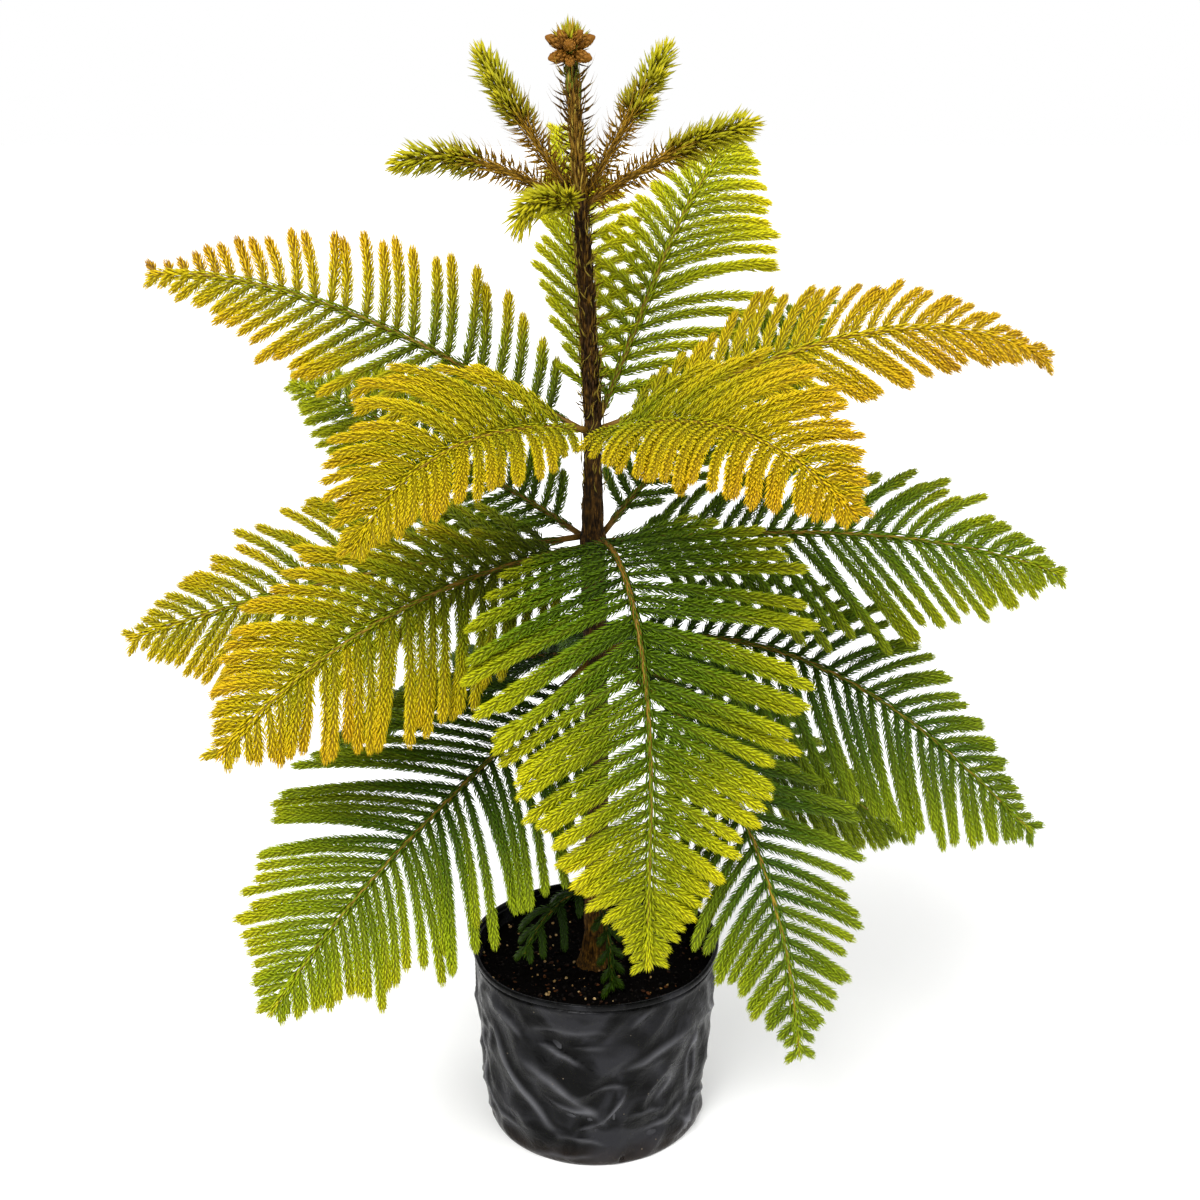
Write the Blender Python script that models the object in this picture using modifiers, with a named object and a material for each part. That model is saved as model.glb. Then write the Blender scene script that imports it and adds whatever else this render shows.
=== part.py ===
# A potted araucaria: a young Norfolk Island pine in a soft black nursery bag.
# Metres, +Z up. The origin is the centre of the bag's base, and -Y is the front.

import math
from collections import namedtuple

import bmesh
import bpy
from mathutils import Matrix, Vector

MM = 0.001
CLEARANCE = 0.3 * MM

# Nursery bag
RIM_RADIUS = 100 * MM
BASE_RADIUS = 90 * MM
BAG_HEIGHT = 155 * MM
BAG_WALL = 1.2 * MM
HEM_DEPTH = 9 * MM
HEM_BULGE = 1.6 * MM
BASE_FOLD = 7 * MM
BAG_SIDES = 36
DRAIN_RADIUS = 3.2 * MM
DRAIN_HEIGHT = 6.5 * MM
DRAIN_AZIMUTHS = (284, 14, 104, 194)

# Potting mix
SOIL_LEVEL = 131 * MM
SOIL_DISH = 3 * MM
STEM_HOLE_DEPTH = 28 * MM

# Stem
TRUNK_SIDES = 10
TRUNK_RADIUS = 9.2 * MM
TRUNK_TOP = 836 * MM
LEADER_RADIUS = 4.2 * MM
TAPER_START = 500 * MM
TAPER_POWER = 0.5
SCALES_START = 610 * MM
SCALE_LENGTH = 9 * MM
LEADER_START = 750 * MM
LEADER_NEEDLE = 14 * MM

# Whorls, measured from the base of the bag
LOWER_WHORL = 402 * MM
MIDDLE_WHORL = 495 * MM
UPPER_WHORL = 580 * MM
TOP_WHORL = 744 * MM
BASAL_WHORL = 205 * MM

# Fronds
RACHIS_RADIUS = 2.9 * MM
RACHIS_TIP_RADIUS = 1.1 * MM
BRANCHLET_RADIUS = 1.5 * MM
BRANCHLET_TIP_RADIUS = 1.0 * MM
JOINT_HALF = 2.6 * MM
NEEDLE_LENGTH = 10 * MM
NEEDLE_SEAT = 3.4 * MM
NEEDLE_LEAN = 33
WHORL_SPACING = 32 * MM
TIP_MARGIN = 16 * MM

# Each frond leaves the stem along its own +X, with its left side at +Y. Angles are in degrees.
# Rise, length, reach and bare are in millimetres. The slopes are those of the midrib at its
# start, half way and end. Bend turns it to its left, and roll lifts its left side. Reach is the
# longest branchlet on its left and right, hang is how far gravity bends the branchlets, pairs
# is how many there are, and bare is the length of midrib before the first of them. Past the
# share full of the midrib the branchlets grow shorter.
Frond = namedtuple("Frond", "name height azimuth length launch middle tip bend roll left right "
                            "hang pairs bare tone full")
Shoot = namedtuple("Shoot", "name height azimuth length launch middle tip bend")

GOLD, GREEN, DARK = "gold_needles", "green_needles", "dark_needles"


def frond(name, whorl, rise, azimuth, length, slopes, bend, roll, reach, hang, pairs, bare, tone, full=0.28):
    return Frond(name, whorl + rise * MM, azimuth, length * MM, *slopes, bend, roll,
                 reach[0] * MM, reach[1] * MM, hang, pairs, bare * MM, tone, full)


UPPER = [
    frond("frond_upper_right", UPPER_WHORL, 2, 1, 350, slopes=(20, 15, -32), bend=0, roll=38,
          reach=(74, 85), hang=0.35, pairs=9, bare=32, tone=GOLD),
    frond("frond_upper_back_right", UPPER_WHORL, 5, 62, 312, slopes=(42, 46, 20), bend=-5, roll=27,
          reach=(74, 110), hang=0.2, pairs=9, bare=32, tone=GREEN),
    frond("frond_upper_back", UPPER_WHORL, -1, 99, 290, slopes=(56, 50, 34), bend=0, roll=0,
          reach=(80, 80), hang=0.15, pairs=8, bare=40, tone=GREEN),
    frond("frond_upper_left", UPPER_WHORL, 0, 166, 362, slopes=(25, 21, -4), bend=6, roll=-50,
          reach=(85, 98), hang=0.4, pairs=9, bare=32, tone=GOLD),
    frond("frond_upper_front_left", UPPER_WHORL, 2, 227, 240, slopes=(11, -9, -61), bend=-4, roll=-32,
          reach=(75, 95), hang=0.35, pairs=7, bare=32, tone=GOLD),
    frond("frond_upper_front_right", UPPER_WHORL, -2, 304, 290, slopes=(19, 2, -33), bend=0, roll=26,
          reach=(92, 112), hang=0.32, pairs=8, bare=32, tone=GOLD),
]
MIDDLE = [
    frond("frond_middle_right", MIDDLE_WHORL, 0, -1, 360, slopes=(5, -3, -22), bend=4, roll=44,
          reach=(98, 112), hang=0.5, pairs=9, bare=32, tone=GREEN),
    frond("frond_middle_back_right", MIDDLE_WHORL, 4, 42, 300, slopes=(38, 32, 25), bend=0, roll=15,
          reach=(80, 80), hang=0.15, pairs=8, bare=32, tone=GREEN),
    frond("frond_middle_back_left", MIDDLE_WHORL, 2, 141, 345, slopes=(20, 14, 8), bend=0, roll=-15,
          reach=(85, 85), hang=0.2, pairs=8, bare=32, tone=GREEN),
    frond("frond_middle_left", MIDDLE_WHORL, 4, 184, 358, slopes=(-8, -12, -20), bend=-3, roll=-45,
          reach=(120, 100), hang=0.38, pairs=9, bare=32, tone=GOLD),
    frond("frond_middle_front_left", MIDDLE_WHORL, -3, 216, 328, slopes=(0, -15, -39), bend=6, roll=-45,
          reach=(112, 104), hang=0.45, pairs=9, bare=32, tone=GOLD),
    frond("frond_middle_front", MIDDLE_WHORL, 0, 285, 384, slopes=(26, -76, -86), bend=0, roll=14,
          reach=(135, 138), hang=0, pairs=10, bare=32, tone=GREEN, full=0.16),
]
LOWER = [
    frond("frond_lower_right", LOWER_WHORL, 6, -11, 388, slopes=(24, -28, -45), bend=8, roll=55,
          reach=(80, 125), hang=0.25, pairs=9, bare=32, tone=DARK),
    frond("frond_lower_back_right", LOWER_WHORL, 0, 24, 335, slopes=(-26, -38, -34), bend=-15, roll=36,
          reach=(80, 108), hang=0.36, pairs=8, bare=32, tone=DARK),
    frond("frond_lower_back", LOWER_WHORL, 3, 90, 300, slopes=(0, -25, -42), bend=0, roll=0,
          reach=(85, 85), hang=0.3, pairs=8, bare=32, tone=DARK),
    frond("frond_lower_back_left", LOWER_WHORL, 0, 150, 310, slopes=(-10, -28, -42), bend=0, roll=-12,
          reach=(80, 80), hang=0.3, pairs=8, bare=32, tone=DARK),
    frond("frond_lower_left", LOWER_WHORL, -4, 220, 352, slopes=(-32, -28, -43), bend=8, roll=-28,
          reach=(140, 130), hang=0.15, pairs=9, bare=32, tone=DARK),
    frond("frond_lower_front_right", LOWER_WHORL, -2, 312, 358, slopes=(0, -48, -82), bend=-12, roll=32,
          reach=(112, 120), hang=0.05, pairs=9, bare=32, tone=DARK),
]
BASAL = [
    frond("basal_left", BASAL_WHORL, 0, 222, 95, slopes=(8, -28, -60), bend=0, roll=-10,
          reach=(26, 26), hang=0.3, pairs=3, bare=18, tone=DARK),
    frond("basal_front", BASAL_WHORL, -12, 285, 78, slopes=(-5, -58, -80), bend=0, roll=0,
          reach=(20, 20), hang=0.3, pairs=3, bare=18, tone=DARK),
    frond("basal_right", BASAL_WHORL, -8, 330, 60, slopes=(5, -25, -45), bend=0, roll=0,
          reach=(18, 18), hang=0.3, pairs=2, bare=18, tone=DARK),
]
SHOOTS = [
    Shoot("shoot_right", TOP_WHORL, 352, 138 * MM, 36, 28, 12, 0),
    Shoot("shoot_upper_right", TOP_WHORL + 6 * MM, 38, 132 * MM, 52, 53, 55, 0),
    Shoot("shoot_upper_left", TOP_WHORL + 4 * MM, 150, 138 * MM, 48, 53, 57, 0),
    Shoot("shoot_left", TOP_WHORL, 187, 142 * MM, 26, 16, -22, 0),
    Shoot("shoot_front", TOP_WHORL - 2 * MM, 243, 106 * MM, 4, -4, -58, 0),
]
SHOOT_RADIUS = 2.6 * MM
SHOOT_NEEDLE = 13 * MM
SHOOT_SPACING = 11 * MM

# Buds on the leader
BUD_HEAD_RADIUS = 7.5 * MM
BUD_HEAD_HEIGHT = 11 * MM
BUD_RADIUS = 5.2 * MM
BUD_COUNT = 6
BUD_RING_RADIUS = 11 * MM
TUFT_NEEDLES = 7
TUFT_LENGTH = 15 * MM


def clear_scene():
    for old in list(bpy.data.objects):
        bpy.data.objects.remove(old, do_unlink=True)


def new_collection(name):
    group = bpy.data.collections.new(name)
    bpy.context.scene.collection.children.link(group)
    return group


def linear(value):
    return value / 12.92 if value <= 0.04045 else ((value + 0.055) / 1.055) ** 2.4


def make_material(name, colour, roughness):
    material = bpy.data.materials.new(name)
    material.use_nodes = True
    shader = material.node_tree.nodes["Principled BSDF"]
    rgb = [linear(int(colour[i:i + 2], 16) / 255) for i in (0, 2, 4)]
    shader.inputs["Base Color"].default_value = (*rgb, 1)
    shader.inputs["Roughness"].default_value = roughness
    shader.inputs["Metallic"].default_value = 0
    return material


def add_object(name, mesh, material, group, location=(0, 0, 0), turn=0):
    piece = bpy.data.objects.new(name, mesh)
    piece.data.materials.append(material)
    piece.location = location
    piece.rotation_euler = (0, 0, math.radians(turn))
    group.objects.link(piece)
    return piece


def mesh_from(bm, name):
    if bm.calc_volume(signed=True) < 0:
        bmesh.ops.reverse_faces(bm, faces=bm.faces)
    mesh = bpy.data.meshes.new(name)
    bm.to_mesh(mesh)
    bm.free()
    return mesh


# The stem's middle line leans a few millimetres to the left above the upper whorl.
def trunk_axis(height):
    sway = 1.5 * MM * math.sin(max(0, height - SOIL_LEVEL) / (90 * MM))
    lean = -18 * MM * max(0, (height - UPPER_WHORL) / (TRUNK_TOP - UPPER_WHORL)) ** 1.2
    return Vector((sway + lean, 0, height))


def trunk_radius(height):
    share = max(0, (height - TAPER_START) / (TRUNK_TOP - TAPER_START))
    return TRUNK_RADIUS + (LEADER_RADIUS - TRUNK_RADIUS) * share ** TAPER_POWER


# Growing by extrusion: a ring is a list of corners round a centre.
def ring(centre, across, up, radius, angles):
    return [centre + radius * (math.cos(a) * across + math.sin(a) * up) for a in angles]


def start_prism(bm, first, second):
    sides = len(first)
    cone = bmesh.ops.create_cone(bm, cap_ends=True, segments=sides, radius1=1, radius2=1, depth=2)
    low = sorted((v for v in cone["verts"] if v.co.z < 0), key=lambda v: math.atan2(v.co.y, v.co.x))
    high = sorted((v for v in cone["verts"] if v.co.z > 0), key=lambda v: math.atan2(v.co.y, v.co.x))
    end = next(f for f in bm.faces if all(v in high for v in f.verts))
    for verts, corners in ((low, first), (high, second)):
        for vert, corner in zip(verts, corners):
            vert.co = corner
    order = {vert: i for i, vert in enumerate(high)}
    return end, [order[v] for v in end.verts]


def extrude_to(bm, face, corners):
    grown = bmesh.ops.extrude_discrete_faces(bm, faces=[face])["faces"][0]
    for vert, corner in zip(grown.verts, corners):
        vert.co = corner
    return grown, [loop.link_loop_radial_next.face for loop in grown.loops]


def raise_needles(bm, faces, centre, along, length, lean):
    for tip in bmesh.ops.poke(bm, faces=faces)["verts"]:
        outward = tip.co - centre
        outward = (outward - along * outward.dot(along)).normalized()
        tip.co += length * (math.sin(lean) * outward + math.cos(lean) * along)


# A midrib is traced in small steps, as a list of (point, along, left, up).
def trace(length, launch, middle, tip, bend, roll):
    steps = 72
    point = Vector((0, 0, 0))
    frames = []
    for k in range(steps + 1):
        s = k / steps
        pitch = launch * (1 - s) * (1 - 2 * s) + 4 * middle * s * (1 - s) + tip * s * (2 * s - 1)
        p, h = math.radians(pitch), math.radians(bend * s)
        r = math.radians(roll * min(1, s / 0.12))
        along = Vector((math.cos(p) * math.cos(h), math.cos(p) * math.sin(h), math.sin(p)))
        level = Vector((-math.sin(h), math.cos(h), 0))
        above = along.cross(level)
        left = math.cos(r) * level + math.sin(r) * above
        frames.append((point.copy(), along, left, along.cross(left)))
        point += along * (length / steps)
    return frames


def frame_at(frames, length, distance):
    place = min(max(distance / length, 0), 1) * (len(frames) - 1)
    low = min(int(place), len(frames) - 2)
    return [a.lerp(b, place - low) for a, b in zip(frames[low], frames[low + 1])]


RACHIS_ANGLES = [math.radians(a) for a in (-150, -30, 90)]


def branchlet_stations(spec):
    first, last = spec.bare, spec.length - TIP_MARGIN
    return [first + (last - first) * k / (spec.pairs - 1) for k in range(spec.pairs)]


def outline_share(spec, distance):
    s = distance / spec.length
    rise = min(1, 0.45 + 0.55 * (distance - spec.bare) / (0.2 * spec.length))
    fall = 1 - (max(0, s - spec.full) / (1.02 - spec.full)) ** 1.8
    return rise * fall


def leaving_angle(s):
    return math.radians(66 - 26 * s)


# Neighbours in a whorl share the space between them, so a branchlet stops short of the
# upright plane half way to the next frond.
def room(reach, angle, half_gap):
    spread = math.tan(math.radians(min(half_gap, 80)))
    closing = math.sin(angle) - math.cos(angle) * spread
    return math.inf if closing <= 0 else 0.93 * reach * spread / closing


def branchlet_curve(base, frames, angle, side, length, hang):
    point, along, left, up = base.copy(), *frames[1:]
    steps = 12
    curve = []
    for k in range(steps + 1):
        t = k / steps
        heading = math.cos(angle) * along + side * math.sin(angle) * left + 0.12 * up
        heading += t * (0.45 * along - hang * Vector((0, 0, 1)))
        heading.normalize()
        curve.append((point.copy(), heading))
        point += heading * (length / steps)
    return curve


def curve_at(curve, length, distance):
    place = min(max(distance / length, 0), 1) * (len(curve) - 1)
    low = min(int(place), len(curve) - 2)
    return [a.lerp(b, place - low) for a, b in zip(curve[low], curve[low + 1])]


def grow_branchlet(bm, quad, frames, angle, side, length, hang):
    halves = bmesh.ops.triangulate(bm, faces=[quad])["faces"]
    face = max(halves, key=lambda f: side * f.calc_center_median().dot(frames[2]))
    base = face.calc_center_median()
    curve = branchlet_curve(base, frames, angle, side, length, hang)
    heading = curve[0][1]
    up = (frames[3] - heading * frames[3].dot(heading)).normalized()
    across = up.cross(heading)
    arms = [v.co - base for v in face.verts]
    start = math.atan2(arms[0].dot(up), arms[0].dot(across))
    second = math.atan2(arms[1].dot(up), arms[1].dot(across))
    turn = 1 if (second - start) % math.tau < math.pi else -1
    angles = [start + turn * math.tau * i / 3 for i in range(3)]
    whorls = max(1, round(length / WHORL_SPACING))
    last = length - NEEDLE_LENGTH
    for k in range(whorls):
        seat = last * (k + 1) / whorls
        share = (k + 1) / whorls
        radius = BRANCHLET_RADIUS + (BRANCHLET_TIP_RADIUS - BRANCHLET_RADIUS) * share
        for place in (seat - NEEDLE_SEAT / 2, seat + NEEDLE_SEAT / 2):
            centre, heading = curve_at(curve, length, place)
            up = (frames[3] - heading * frames[3].dot(heading)).normalized()
            corners = ring(centre, up.cross(heading), up, radius, angles)
            face, sides = extrude_to(bm, face, corners)
        raise_needles(bm, sides, curve_at(curve, length, seat)[0], heading, NEEDLE_LENGTH,
                      math.radians(NEEDLE_LEAN))
    tip = bmesh.ops.poke(bm, faces=[face])["verts"][0]
    tip.co += curve[-1][1] * NEEDLE_LENGTH


def build_frond(spec, half_gaps, material, group):
    bm = bmesh.new()
    frames = trace(spec.length, spec.launch, spec.middle, spec.tip, spec.bend, spec.roll)
    taper = RACHIS_TIP_RADIUS - RACHIS_RADIUS
    root = [Vector((0, 0, 0)), Vector((1, 0, 0)), Vector((0, 1, 0)), Vector((0, 0, 1))]
    stations = branchlet_stations(spec)
    joints = []
    face = order = None
    previous = ring(root[0], root[2], root[3], RACHIS_RADIUS, RACHIS_ANGLES)
    for distance in stations:
        for place in (distance - JOINT_HALF, distance + JOINT_HALF):
            here = frame_at(frames, spec.length, place)
            radius = RACHIS_RADIUS + taper * place / spec.length
            corners = ring(here[0], here[2], here[3], radius, RACHIS_ANGLES)
            if face is None:
                face, order = start_prism(bm, previous, corners)
            else:
                face, sides = extrude_to(bm, face, [corners[i] for i in order])
        joints.append((distance, sides))
    tip_frame = frame_at(frames, spec.length, spec.length - NEEDLE_LENGTH)
    corners = ring(tip_frame[0], tip_frame[2], tip_frame[3], RACHIS_TIP_RADIUS, RACHIS_ANGLES)
    face, sides = extrude_to(bm, face, [corners[i] for i in order])
    tip = bmesh.ops.poke(bm, faces=[face])["verts"][0]
    tip.co += tip_frame[1] * NEEDLE_LENGTH
    for distance, sides in joints:
        here = frame_at(frames, spec.length, distance)
        angle = leaving_angle(distance / spec.length)
        reach = trunk_radius(spec.height) + here[0].x
        flanks = sorted(sides, key=lambda f: (f.calc_center_median() - here[0]).dot(here[2]))
        for side, quad, longest, half_gap in ((1, flanks[-1], spec.left, half_gaps[0]),
                                              (-1, flanks[0], spec.right, half_gaps[1])):
            length = max(longest * outline_share(spec, distance), 1.6 * NEEDLE_LENGTH)
            length = max(min(length, room(reach, angle, half_gap)), 1.3 * NEEDLE_LENGTH)
            grow_branchlet(bm, quad, here, angle, side, length, spec.hang)
    return seat_on_trunk(spec, mesh_from(bm, spec.name), RACHIS_RADIUS, material, group)


def seat_on_trunk(spec, mesh, root_radius, material, group):
    outward = Vector((math.cos(math.radians(spec.azimuth)), math.sin(math.radians(spec.azimuth)), 0))
    root = trunk_axis(spec.height) + outward * (trunk_radius(spec.height) + CLEARANCE)
    return add_object(spec.name, mesh, material, group, root, spec.azimuth)


def build_whorl(specs, materials, group):
    for spec in specs:
        others = [(other.azimuth - spec.azimuth) % 360 for other in specs if other is not spec]
        half_gaps = (min(others) / 2, (360 - max(others)) / 2)
        build_frond(spec, half_gaps, materials[spec.tone], group)


# A young shoot is a bare stem ringed by spreading needles that close up at its green end.
def build_shoot(spec, material, group):
    bm = bmesh.new()
    frames = trace(spec.length, spec.launch, spec.middle, spec.tip, spec.bend, 0)
    angles = [math.radians(-135 + 90 * i) for i in range(4)]
    first = ring(Vector((0, 0, 0)), Vector((0, 1, 0)), Vector((0, 0, 1)), SHOOT_RADIUS, angles)
    count = int((spec.length - TIP_MARGIN / 2) / SHOOT_SPACING)
    face = order = None
    for k in range(count):
        seat = SHOOT_SPACING * (k + 0.8)
        share = seat / spec.length
        radius = SHOOT_RADIUS * (1 - 0.45 * share)
        for place in (seat - NEEDLE_SEAT / 2, seat + NEEDLE_SEAT / 2):
            here = frame_at(frames, spec.length, place)
            corners = ring(here[0], here[2], here[3], radius, [a + 0.5 * k for a in angles])
            if face is None:
                face, order = start_prism(bm, first, corners)
            else:
                face, sides = extrude_to(bm, face, [corners[i] for i in order])
        lean = math.radians(62 - 34 * share)
        raise_needles(bm, sides, frame_at(frames, spec.length, seat)[0], here[1],
                      SHOOT_NEEDLE * (1 - 0.15 * share), lean)
    tip = bmesh.ops.poke(bm, faces=[face])["verts"][0]
    tip.co += here[1] * SHOOT_NEEDLE
    return seat_on_trunk(spec, mesh_from(bm, spec.name), SHOOT_RADIUS, material, group)


def build_trunk(material, group):
    bm = bmesh.new()
    foot = SOIL_LEVEL - STEM_HOLE_DEPTH + CLEARANCE
    plain = [foot, SOIL_LEVEL + 4 * MM, 190 * MM, 260 * MM, 330 * MM, 400 * MM, 450 * MM, 500 * MM,
             545 * MM, 585 * MM]
    angles = [-math.pi + math.tau * (i + 0.5) / TRUNK_SIDES for i in range(TRUNK_SIDES)]

    def corners_at(height):
        radius = trunk_radius(height)
        return ring(trunk_axis(height), Vector((1, 0, 0)), Vector((0, 1, 0)), radius, angles)

    face, order = start_prism(bm, corners_at(plain[0]), corners_at(plain[1]))
    for height in plain[2:]:
        corners = corners_at(height)
        face, sides = extrude_to(bm, face, [corners[i] for i in order])
    height, turn = SCALES_START, 0
    while height < TRUNK_TOP - 2 * NEEDLE_SEAT:
        young = height > LEADER_START
        for place in (height, height + NEEDLE_SEAT):
            corners = corners_at(place)
            face, sides = extrude_to(bm, face, [corners[i] for i in order])
        chosen = [f for i, f in enumerate(sides) if (i + turn) % (2 if young else 3) == 0]
        length = LEADER_NEEDLE if young else SCALE_LENGTH
        if not -20 * MM < height - TOP_WHORL < 28 * MM:
            raise_needles(bm, chosen, trunk_axis(height + NEEDLE_SEAT / 2), Vector((0, 0, 1)),
                          length, math.radians(50))
        height += (14 if young else 20) * MM
        turn += 1
    corners = corners_at(TRUNK_TOP)
    extrude_to(bm, face, [corners[i] for i in order])
    return add_object("trunk", mesh_from(bm, "trunk"), material, group)


# Buds, head and tuft needles are modelled apart and joined by one Boolean union.
def unite(name, material, group, pieces):
    loose = new_collection(name + "_pieces")
    head = pieces[0]
    for piece in pieces[1:]:
        group.objects.unlink(piece)
        loose.objects.link(piece)
    union = head.modifiers.new("union", "BOOLEAN")
    union.operation = "UNION"
    union.operand_type = "COLLECTION"
    union.collection = loose
    union.solver = "MANIFOLD"
    bpy.context.view_layer.update()
    solid = bpy.data.meshes.new_from_object(head.evaluated_get(bpy.context.evaluated_depsgraph_get()))
    for piece in pieces:
        bpy.data.objects.remove(piece, do_unlink=True)
    bpy.data.collections.remove(loose)
    solid.materials.clear()
    return add_object(name, solid, material, group)


def build_buds(material, group):
    base = trunk_axis(TRUNK_TOP) + Vector((0, 0, CLEARANCE))
    pieces = []

    def place(name, bm, matrix):
        bmesh.ops.transform(bm, matrix=matrix, verts=bm.verts)
        pieces.append(add_object(name, mesh_from(bm, name), material, group))

    head = bmesh.new()
    bmesh.ops.create_cone(head, cap_ends=True, segments=8, radius1=LEADER_RADIUS,
                          radius2=BUD_HEAD_RADIUS, depth=BUD_HEAD_HEIGHT)
    place("bud_head", head, Matrix.Translation(base + Vector((0, 0, BUD_HEAD_HEIGHT / 2))))
    centre = base + Vector((0, 0, 0.75 * BUD_HEAD_HEIGHT))
    for k in range(BUD_COUNT + 1):
        crown = k == BUD_COUNT
        spread = 0 if crown else BUD_RING_RADIUS
        bud = bmesh.new()
        bmesh.ops.create_uvsphere(bud, u_segments=6, v_segments=4, radius=BUD_RADIUS)
        turn = Matrix.Rotation(math.tau * (k + 0.3) / BUD_COUNT, 4, "Z")
        tilt = Matrix.Rotation(0 if crown else math.radians(58), 4, "Y")
        reach = Matrix.Translation((spread, 0, 8 * MM if crown else 1.5 * MM))
        stretch = Matrix.Scale(1.3, 4, (0, 0, 1))
        place("bud", bud, Matrix.Translation(centre) @ turn @ reach @ tilt @ stretch)
    for k in range(TUFT_NEEDLES):
        needle = bmesh.new()
        bmesh.ops.create_cone(needle, cap_ends=True, segments=3, radius1=1.3 * MM, radius2=0.2 * MM,
                              depth=TUFT_LENGTH)
        turn = Matrix.Rotation(math.tau * (k + 0.1) / TUFT_NEEDLES, 4, "Z")
        tilt = Matrix.Rotation(math.radians(24), 4, "Y")
        lift = Matrix.Translation((0, 0, 5 * MM + TUFT_LENGTH / 2))
        place("tuft", needle, Matrix.Translation(centre) @ turn @ tilt @ lift)
    return unite("leader_buds", material, group, pieces)


def turned(name, profile, sides, material, group):
    mesh = bpy.data.meshes.new(name)
    mesh.from_pydata([(x, 0, z) for x, z in profile], [(i, i + 1) for i in range(len(profile) - 1)], [])
    piece = add_object(name, mesh, material, group)
    screw = piece.modifiers.new("turn", "SCREW")
    screw.axis = "Z"
    screw.steps = screw.render_steps = sides
    screw.use_merge_vertices = True
    screw.merge_threshold = 0.01 * MM
    return piece


def wall_radius(height):
    return BASE_RADIUS + (RIM_RADIUS - BASE_RADIUS) * height / BAG_HEIGHT


def build_bag(material, group, cutters):
    hem_foot = BAG_HEIGHT - HEM_DEPTH
    fold = [(BASE_RADIUS - BASE_FOLD * (1 - math.cos(a)), BASE_FOLD * (1 - math.sin(a)))
            for a in map(math.radians, (10, 35, 60, 90))]
    profile = [
        (0, BAG_WALL),
        (BASE_RADIUS - BASE_FOLD, BAG_WALL),
        (wall_radius(BASE_FOLD) - BAG_WALL, BASE_FOLD),
        (RIM_RADIUS - BAG_WALL - HEM_BULGE / 2, hem_foot),
        (RIM_RADIUS - BAG_WALL - HEM_BULGE, BAG_HEIGHT - 2 * MM),
        (RIM_RADIUS - BAG_WALL, BAG_HEIGHT),
        (RIM_RADIUS, BAG_HEIGHT - 1 * MM),
        (RIM_RADIUS + HEM_BULGE / 2, BAG_HEIGHT - HEM_DEPTH / 2),
        (wall_radius(hem_foot), hem_foot),
        *fold,
        (0, 0),
    ]
    bag = turned("grow_bag", profile, BAG_SIDES, material, group)
    for azimuth in DRAIN_AZIMUTHS:
        bm = bmesh.new()
        bmesh.ops.create_cone(bm, cap_ends=True, segments=10, radius1=DRAIN_RADIUS,
                              radius2=DRAIN_RADIUS, depth=14 * MM)
        a = math.radians(azimuth)
        place = Matrix.Translation((BASE_RADIUS * math.cos(a), BASE_RADIUS * math.sin(a), DRAIN_HEIGHT))
        bmesh.ops.transform(bm, verts=bm.verts, matrix=place @ Matrix.Rotation(a, 4, "Z")
                            @ Matrix.Rotation(math.pi / 2, 4, "Y"))
        cutter = add_object(f"drain_cutter_{azimuth}", mesh_from(bm, "drain"), material, cutters)
        cutter.hide_render = True
        cutter.display_type = "WIRE"
    cut = bag.modifiers.new("drain_holes", "BOOLEAN")
    cut.operand_type = "COLLECTION"
    cut.collection = cutters
    return bag


def build_soil(material, group):
    bore = TRUNK_RADIUS + CLEARANCE
    gap = BAG_WALL + CLEARANCE
    base = BAG_WALL + CLEARANCE
    outer = wall_radius(SOIL_LEVEL) - gap - 0.7 * MM
    profile = [
        (0, SOIL_LEVEL - STEM_HOLE_DEPTH),
        (bore, SOIL_LEVEL - STEM_HOLE_DEPTH),
        (bore, SOIL_LEVEL - 1 * MM),
        (0.25 * outer, SOIL_LEVEL + 0.5 * MM),
        (0.6 * outer, SOIL_LEVEL - 0.5 * SOIL_DISH),
        (0.85 * outer, SOIL_LEVEL - SOIL_DISH),
        (outer, SOIL_LEVEL - 0.6 * SOIL_DISH),
        (wall_radius(BASE_FOLD) - gap - 0.4 * MM, BASE_FOLD + CLEARANCE),
        (BASE_RADIUS - BASE_FOLD - 0.4 * MM, base),
        (0, base),
    ]
    return turned("soil", profile, BAG_SIDES, material, group)


def main():
    clear_scene()
    plant = new_collection("potted_araucaria")
    cutters = new_collection("cutters")
    bag_plastic = make_material("black_polythene", "2b2c2e", 0.42)
    mix = make_material("potting_mix", "2a211c", 0.95)
    bark = make_material("young_bark", "4e3418", 0.85)
    bud_brown = make_material("bud_scales", "7a4a20", 0.6)
    shoot_green = make_material("shoot_needles", "6e6a1e", 0.6)
    needles = {
        GOLD: make_material(GOLD, "c9a616", 0.55),
        GREEN: make_material(GREEN, "7a9c18", 0.55),
        DARK: make_material(DARK, "3c6416", 0.55),
    }
    build_bag(bag_plastic, plant, cutters)
    build_soil(mix, plant)
    build_trunk(bark, plant)
    build_buds(bud_brown, plant)
    for whorl in (UPPER, MIDDLE, LOWER, BASAL):
        build_whorl(whorl, needles, plant)
    for spec in SHOOTS:
        build_shoot(spec, shoot_green, plant)


main()
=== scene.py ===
import math

import bpy
import numpy as np
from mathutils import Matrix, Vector, noise


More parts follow.
